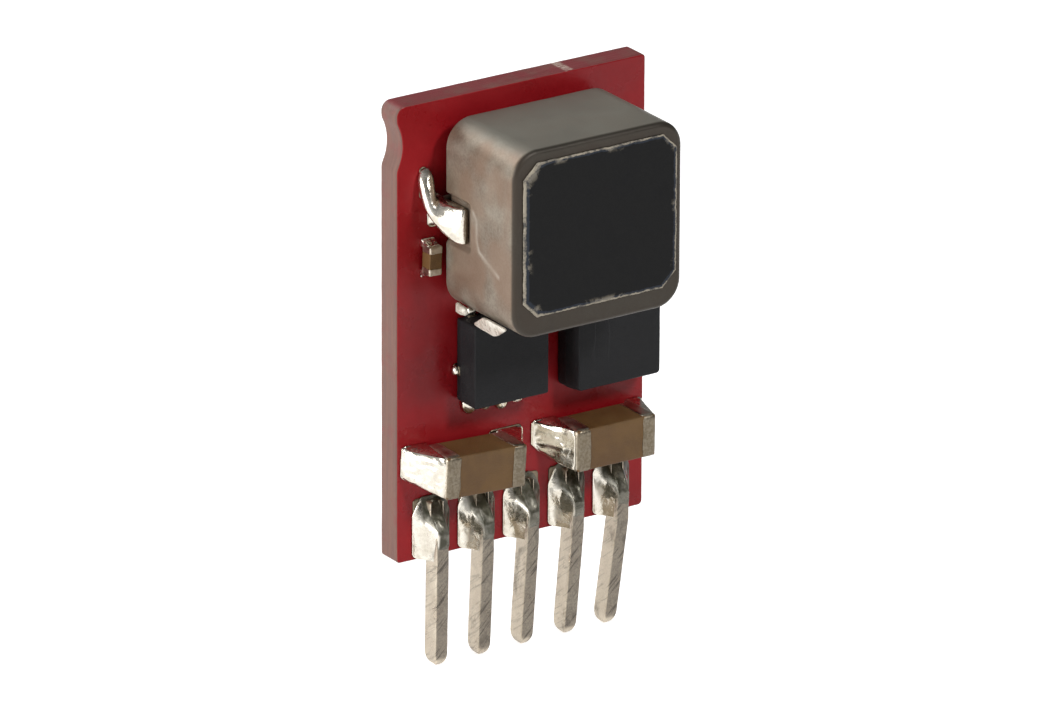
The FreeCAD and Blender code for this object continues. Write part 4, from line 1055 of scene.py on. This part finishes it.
def makeLabel(s):
    # an eight-sided plate with a ragged edge; rim holds how far each ring lies from that edge
    low, high = ends("inductor_label")
    middle = (low + high) / 2
    hw, hh, cut = (high.x - low.x) / 2, (high.z - low.z) / 2, s["cut"]
    corners = [(hw, hh - cut), (hw - cut, hh), (-hw + cut, hh), (-hw, hh - cut),
               (-hw, -hh + cut), (-hw + cut, -hh), (hw - cut, -hh), (hw, -hh + cut)]
    outline = []
    for k, (x, z) in enumerate(corners):
        nx, nz = corners[(k + 1) % 8]
        pieces = max(2, round(hypot(nx - x, nz - z) / s["step"]))
        outline += [(x + (nx - x) * i / pieces, z + (nz - z) * i / pieces) for i in range(pieces)]
    count = len(outline)
    inward = []
    for k in range(count):
        run = (Vector(outline[(k + s["turnOver"]) % count]) - Vector(outline[k - s["turnOver"]])).normalized()
        inward.append((-run.y, run.x))
    rings, rims = [], []

    def ring(y, inset, rim):
        made = []
        for (x, z), (ix, iz) in zip(outline, inward):
            chip = s["ragged"] * (0.5 + 0.5 * wave(x * 3.1, z * 3.1, 4.0)) \
                + s["ragged"] * 0.8 * max(0.0, wave(x * 11.0, z * 11.0, 8.0))
            d = inset + chip * max(0.0, 1 - inset / 0.4)
            made.append((middle.x + x + ix * d, y, middle.z + z + iz * d))
        rings.append(made)
        rims.append(rim)

    ring(high.y, 0.6, 1.0)
    ring(high.y, 0.01, 0.0)
    for k, inset in enumerate(s["rings"]):
        ring(low.y + (0.02 if k == 0 else 0.0), inset, inset)
    lastRing = rings[-1]
    for share in s["shrink"]:
        rings.append([(middle.x + (x - middle.x) * share, low.y, middle.z + (z - middle.z) * share)
                      for x, _, z in lastRing])
        rims.append(0.2 + (1 - share) * hw)
    bm = bmesh.new()
    layer = bm.verts.layers.float.new("rim")
    for verts, rim in zip(skin(bm, rings), rims):
        for v in verts:
            v[layer] = rim
    bm.verts.ensure_lookup_table()
    for k in (-1, -2):     # the middles of both faces
        bm.verts[k][layer] = 1.0
    return dress(meshFrom("inductorLabel", bm, labelInk), "label_ink", "inductor_label")


makeLabel(labelShape)
print("label made")

inductorJointShape = {
    "land": 0.41, "film": 0.02, "climb": 1.0, "leanWide": 0.5, "leanTall": 1.2, "leanMiddle": 12.6,
    "wrinkle": 0.05, "corner": 0.2, "rings": 24, "step": 0.08,
    # the hook's middle, its half across and its half deep at each station, seen on the left side
    "hook": (((-3.98, 0.40, 14.06), (0.2, 0.0, 0.02), (0.0, -0.06, 0.12)),
             ((-4.0, 0.28, 13.84), (0.28, 0.0, 0.04), (0.0, -0.2, 0.06)),
             ((-4.02, 0.12, 13.38), (0.28, 0.02, 0.06), (-0.04, -0.3, 0.0)),
             ((-3.96, -0.08, 12.98), (0.25, 0.05, 0.22), (-0.1, -0.28, 0.0)),
             ((-3.8, -0.42, 12.68), (0.14, 0.06, 0.44), (-0.14, -0.22, 0.02)),
             ((-3.62, -0.88, 12.48), (0.04, 0.03, 0.6), (-0.12, -0.14, 0.0)),
             ((-3.47, -1.14, 12.44), (0.0, 0.0, 0.64), (-0.09, -0.1, 0.0)),
             ((-3.41, -1.24, 12.44), (0.0, 0.0, 0.6), (-0.03, -0.04, 0.0))),
}
terminalShape = {"front": -1.26, "thick": 0.15, "bend": 0.2, "tuck": 1.0, "round": 0.06, "low": 11.8, "high": 13.08}


def makeTerminal(end, s):
    # a strip that runs down the body's side, turns round its foot and goes under it
    node = "inductor_%s_terminal" % end
    low, high = ends(node)
    side = -1 if end == "left" else 1
    outer = (low.x if side < 0 else -high.x) + s["thick"] / 2
    foot = high.y - s["thick"] / 2
    path = [(outer, s["front"] + (foot - s["bend"] - s["front"]) * k / 12, 0.0) for k in range(13)]
    for k, (sine, cosine) in enumerate(quarter(8)[1:]):
        path.append((outer + s["bend"] * (1 - cosine), foot - s["bend"] * (1 - sine), radians(90 * (k + 1) / 8)))
    path.append((outer + s["tuck"], foot, radians(90)))
    rings = []
    for k, (x, y, a) in enumerate(path):
        thin, narrow = (0.8, 0.96) if k in (0, len(path) - 1) else (1.0, 1.0)
        rings.append([(-side * (x + u * thin * cos(a)), y - u * thin * sin(a), (s["low"] + s["high"]) / 2 + v * narrow)
                      for u, v, _, _ in roundedLoop(s["thick"], s["high"] - s["low"], s["round"], 4, 0.15)])
    return pieceFrom("inductorTerminal" + end.capitalize(), rings, satinTin, "terminal_metal", node)


def between(a, b, c, d, t):
    # smooth curve through b and c
    return 0.5 * (2 * b + (c - a) * t + (2 * a - 5 * b + 4 * c - d) * t * t + (3 * b - a - 3 * c + d) * t ** 3)


def addHook(bm, side, s):
    stations = [[Vector(v) for v in station] for station in s["hook"]]
    stations = [stations[0]] + stations + [stations[-1]]
    rings = []
    for k in range(1, len(stations) - 2):
        for step in range(9):
            middle, across, deep = (between(*(stations[k + j][i] for j in (-1, 0, 1, 2)), step / 9) for i in range(3))
            ring = []
            for turn in range(28):
                a = tau * turn / 28
                p = middle + across * cos(a) + deep * sin(a)
                p = p + deep.normalized() * s["wrinkle"] * noise.noise(p * 2.1) * abs(sin(a))
                ring.append((-side * p.x, min(p.y, 0.45), p.z))
            rings.append(ring)
    skin(bm, rings)


def makeInductorJoint(end, s):
    # solder that leans from the land up against the terminal, and a smooth hook of it that runs up the land
    node = "inductor_%s_solder" % end
    body = ends("inductor_body")
    side = -1 if end == "left" else 1
    wall = body[0].x if side < 0 else body[1].x
    seed = 5.0 + side

    def heightAt(lx, lz):
        t = min(1.0, max(0.0, 0.5 + lx * -side / s["leanWide"]))
        ripple = wave(lx * 2.0, lz * 2.0, seed) * s["wrinkle"]
        third = s["leanTall"] * 0.3
        return max(s["film"], (s["climb"] * t ** 1.4 + ripple) * within(lz, -third, third, 0.2))

    joint = relief("inductorJoint" + end.capitalize(), (wall + side * (s["leanWide"] / 2 - 0.1), s["leanMiddle"]),
                   (s["leanWide"], s["leanTall"]), s["corner"], s["land"], heightAt, lambda lx, lz: 0.0,
                   reflowedSolder, s["rings"], s["step"])
    bm = bmesh.new()
    addHook(bm, side, s)
    hook = meshFrom("hook", bm)
    bm = bmesh.new()
    bm.from_mesh(joint.data)
    bm.from_mesh(hook.data)
    bm.to_mesh(joint.data)
    bm.free()
    bpy.data.objects.remove(hook)
    for face in joint.data.polygons:
        face.use_smooth = True
    return dress(joint, "solder", node)


for end in ("left", "right"):
    makeTerminal(end, terminalShape)
    makeInductorJoint(end, inductorJointShape)
print("inductor joints made")

# plates under the inductor's lower-left edge: partly bare tin, partly a painted highlight along that edge
tinHighlightShape = {
    # four corners of each plate on the slanting face under the body, upper edge first, and its middle bulge
    "thick": 0.06, "patches": {
        "inductorTinHighlight": (
            ((-3.43, -2.42, 9.59), (-3.43, -3.85, 9.59), (-3.22, -2.9, 9.0), (-3.22, -1.5, 9.02)), 0.03),
        "inductorTinHighlightDot": (
            ((-3.42, -0.78, 9.62), (-3.42, -1.35, 9.56), (-3.3, -1.2, 9.22), (-3.3, -0.6, 9.26)), 0.1)},
}


def makeTinHighlight(name, corners, swell, s):
    # a thin pale plate between four corners, a little raised in its middle, partly bare tin and partly a painted
    # highlight
    a, b, c, d = (Vector(p) for p in corners)
    outward = (c - a).cross(b - d).normalized()
    if outward.x > 0:
        outward = -outward
    loop = roundedLoop(1.0, 1.0, 0.16, 5, 0.06)
    rings = []
    for lift, share in ((-0.5, 1.0), (0.6, 1.0), (1.0, 0.95), (1.0, 0.85), (1.0, 0.7), (1.0, 0.45)):
        ring = []
        for u, v, _, _ in loop:
            u, v = 0.5 + u * share, 0.5 + v * share
            place = (a * (1 - u) + b * u) * (1 - v) + (d * (1 - u) + c * u) * v
            ragged = noise.noise(place * 3.1)
            out = s["thick"] * lift + swell * (1 - share) * 2 + 0.03 * ragged * max(0.0, lift)
            ring.append(place + outward * out + (b - a).normalized() * 0.05 * ragged)
        rings.append(ring)
    return pieceFrom(name, rings, tinAndHighlight, "solder")


for name, (corners, swell) in tinHighlightShape["patches"].items():
    makeTinHighlight(name, corners, swell, tinHighlightShape)
print("tinned flash made")

studio = {"floorTone": 0.86, "floorLift": 0.62, "floorHalf": 2000.0, "world": 0.15, "worldLeft": 0.34,
          "worldFront": 0.12, "aim": (0, 0, 7)}
lamps = {
    # place, width and height in millimetres, and power in watts
    "leftSoftbox": ((-158, -12, 35), (80, 110), 0.21),
    "frontSoftbox": ((40, -150, 135), (36, 36), 0.2),
    "backSoftbox": ((-50, 140, 85), (120, 80), 0.13),
}


def makeFloor(s):
    # a pale floor that looks a little brighter to the camera and in glossy pieces than it lights them
    bm = bmesh.new()
    bmesh.ops.create_grid(bm, x_segments=2, y_segments=2, size=s["floorHalf"])
    for v in bm.verts:
        v.co.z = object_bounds()[0].z / toMetres - 0.002
    material = bpy.data.materials.new("paleFloor")
    w = Wires(emptied(material))
    path = w.add("ShaderNodeLightPath").outputs
    seen = w.most(w.most(path["Is Camera Ray"], path["Is Glossy Ray"]), path["Is Transmission Ray"])
    diffuse = w.put("ShaderNodeBsdfDiffuse", {"Color": (s["floorTone"],) * 3 + (1.0,)})
    glow = w.put("ShaderNodeEmission", {"Strength": w.times(seen, s["floorLift"])})
    w.add("ShaderNodeOutputMaterial", {"Surface": w.put("ShaderNodeAddShader", {0: diffuse, 1: glow})})
    floor = meshFrom("studioFloor", bm, material, False)
    floor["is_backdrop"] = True


def makeBackdrop(s):
    # white to the camera; it lights the piece brighter from the left and darker from the front
    world = bpy.data.worlds.new("studioWorld")
    bpy.context.scene.world = world
    w = Wires(emptied(world))
    x, y, _ = w.axes(w.add("ShaderNodeTexCoord").outputs["Generated"])
    left = w.remap(x, 0.3, -0.9, 0.0, s["worldLeft"])
    front = w.remap(y, -0.1, -0.9, 0.0, s["worldFront"])
    level = w.minus(w.plus(s["world"], left), front)
    seen = w.add("ShaderNodeLightPath").outputs["Is Camera Ray"]
    back = w.put("ShaderNodeBackground", {"Color": (1, 1, 1, 1), "Strength": w.mixValue(seen, level, 1.0)})
    w.add("ShaderNodeOutputWorld", {"Surface": back})


def addLamp(name, place, size, power, aim):
    data = bpy.data.lights.new(name, "AREA")
    data.shape = "RECTANGLE"
    data.size, data.size_y = size[0] * toMetres, size[1] * toMetres
    data.energy = power
    lamp = bpy.data.objects.new(name, data)
    lamp.location = Vector(place) * toMetres
    lamp.rotation_mode = "QUATERNION"
    lamp.rotation_quaternion = (Vector(place) - Vector(aim)).to_track_quat("Z", "Y")
    bpy.context.scene.collection.objects.link(lamp)


makeFloor(studio)
makeBackdrop(studio)
for name, (place, size, power) in lamps.items():
    addLamp(name, place, size, power, studio["aim"])
print("studio made")
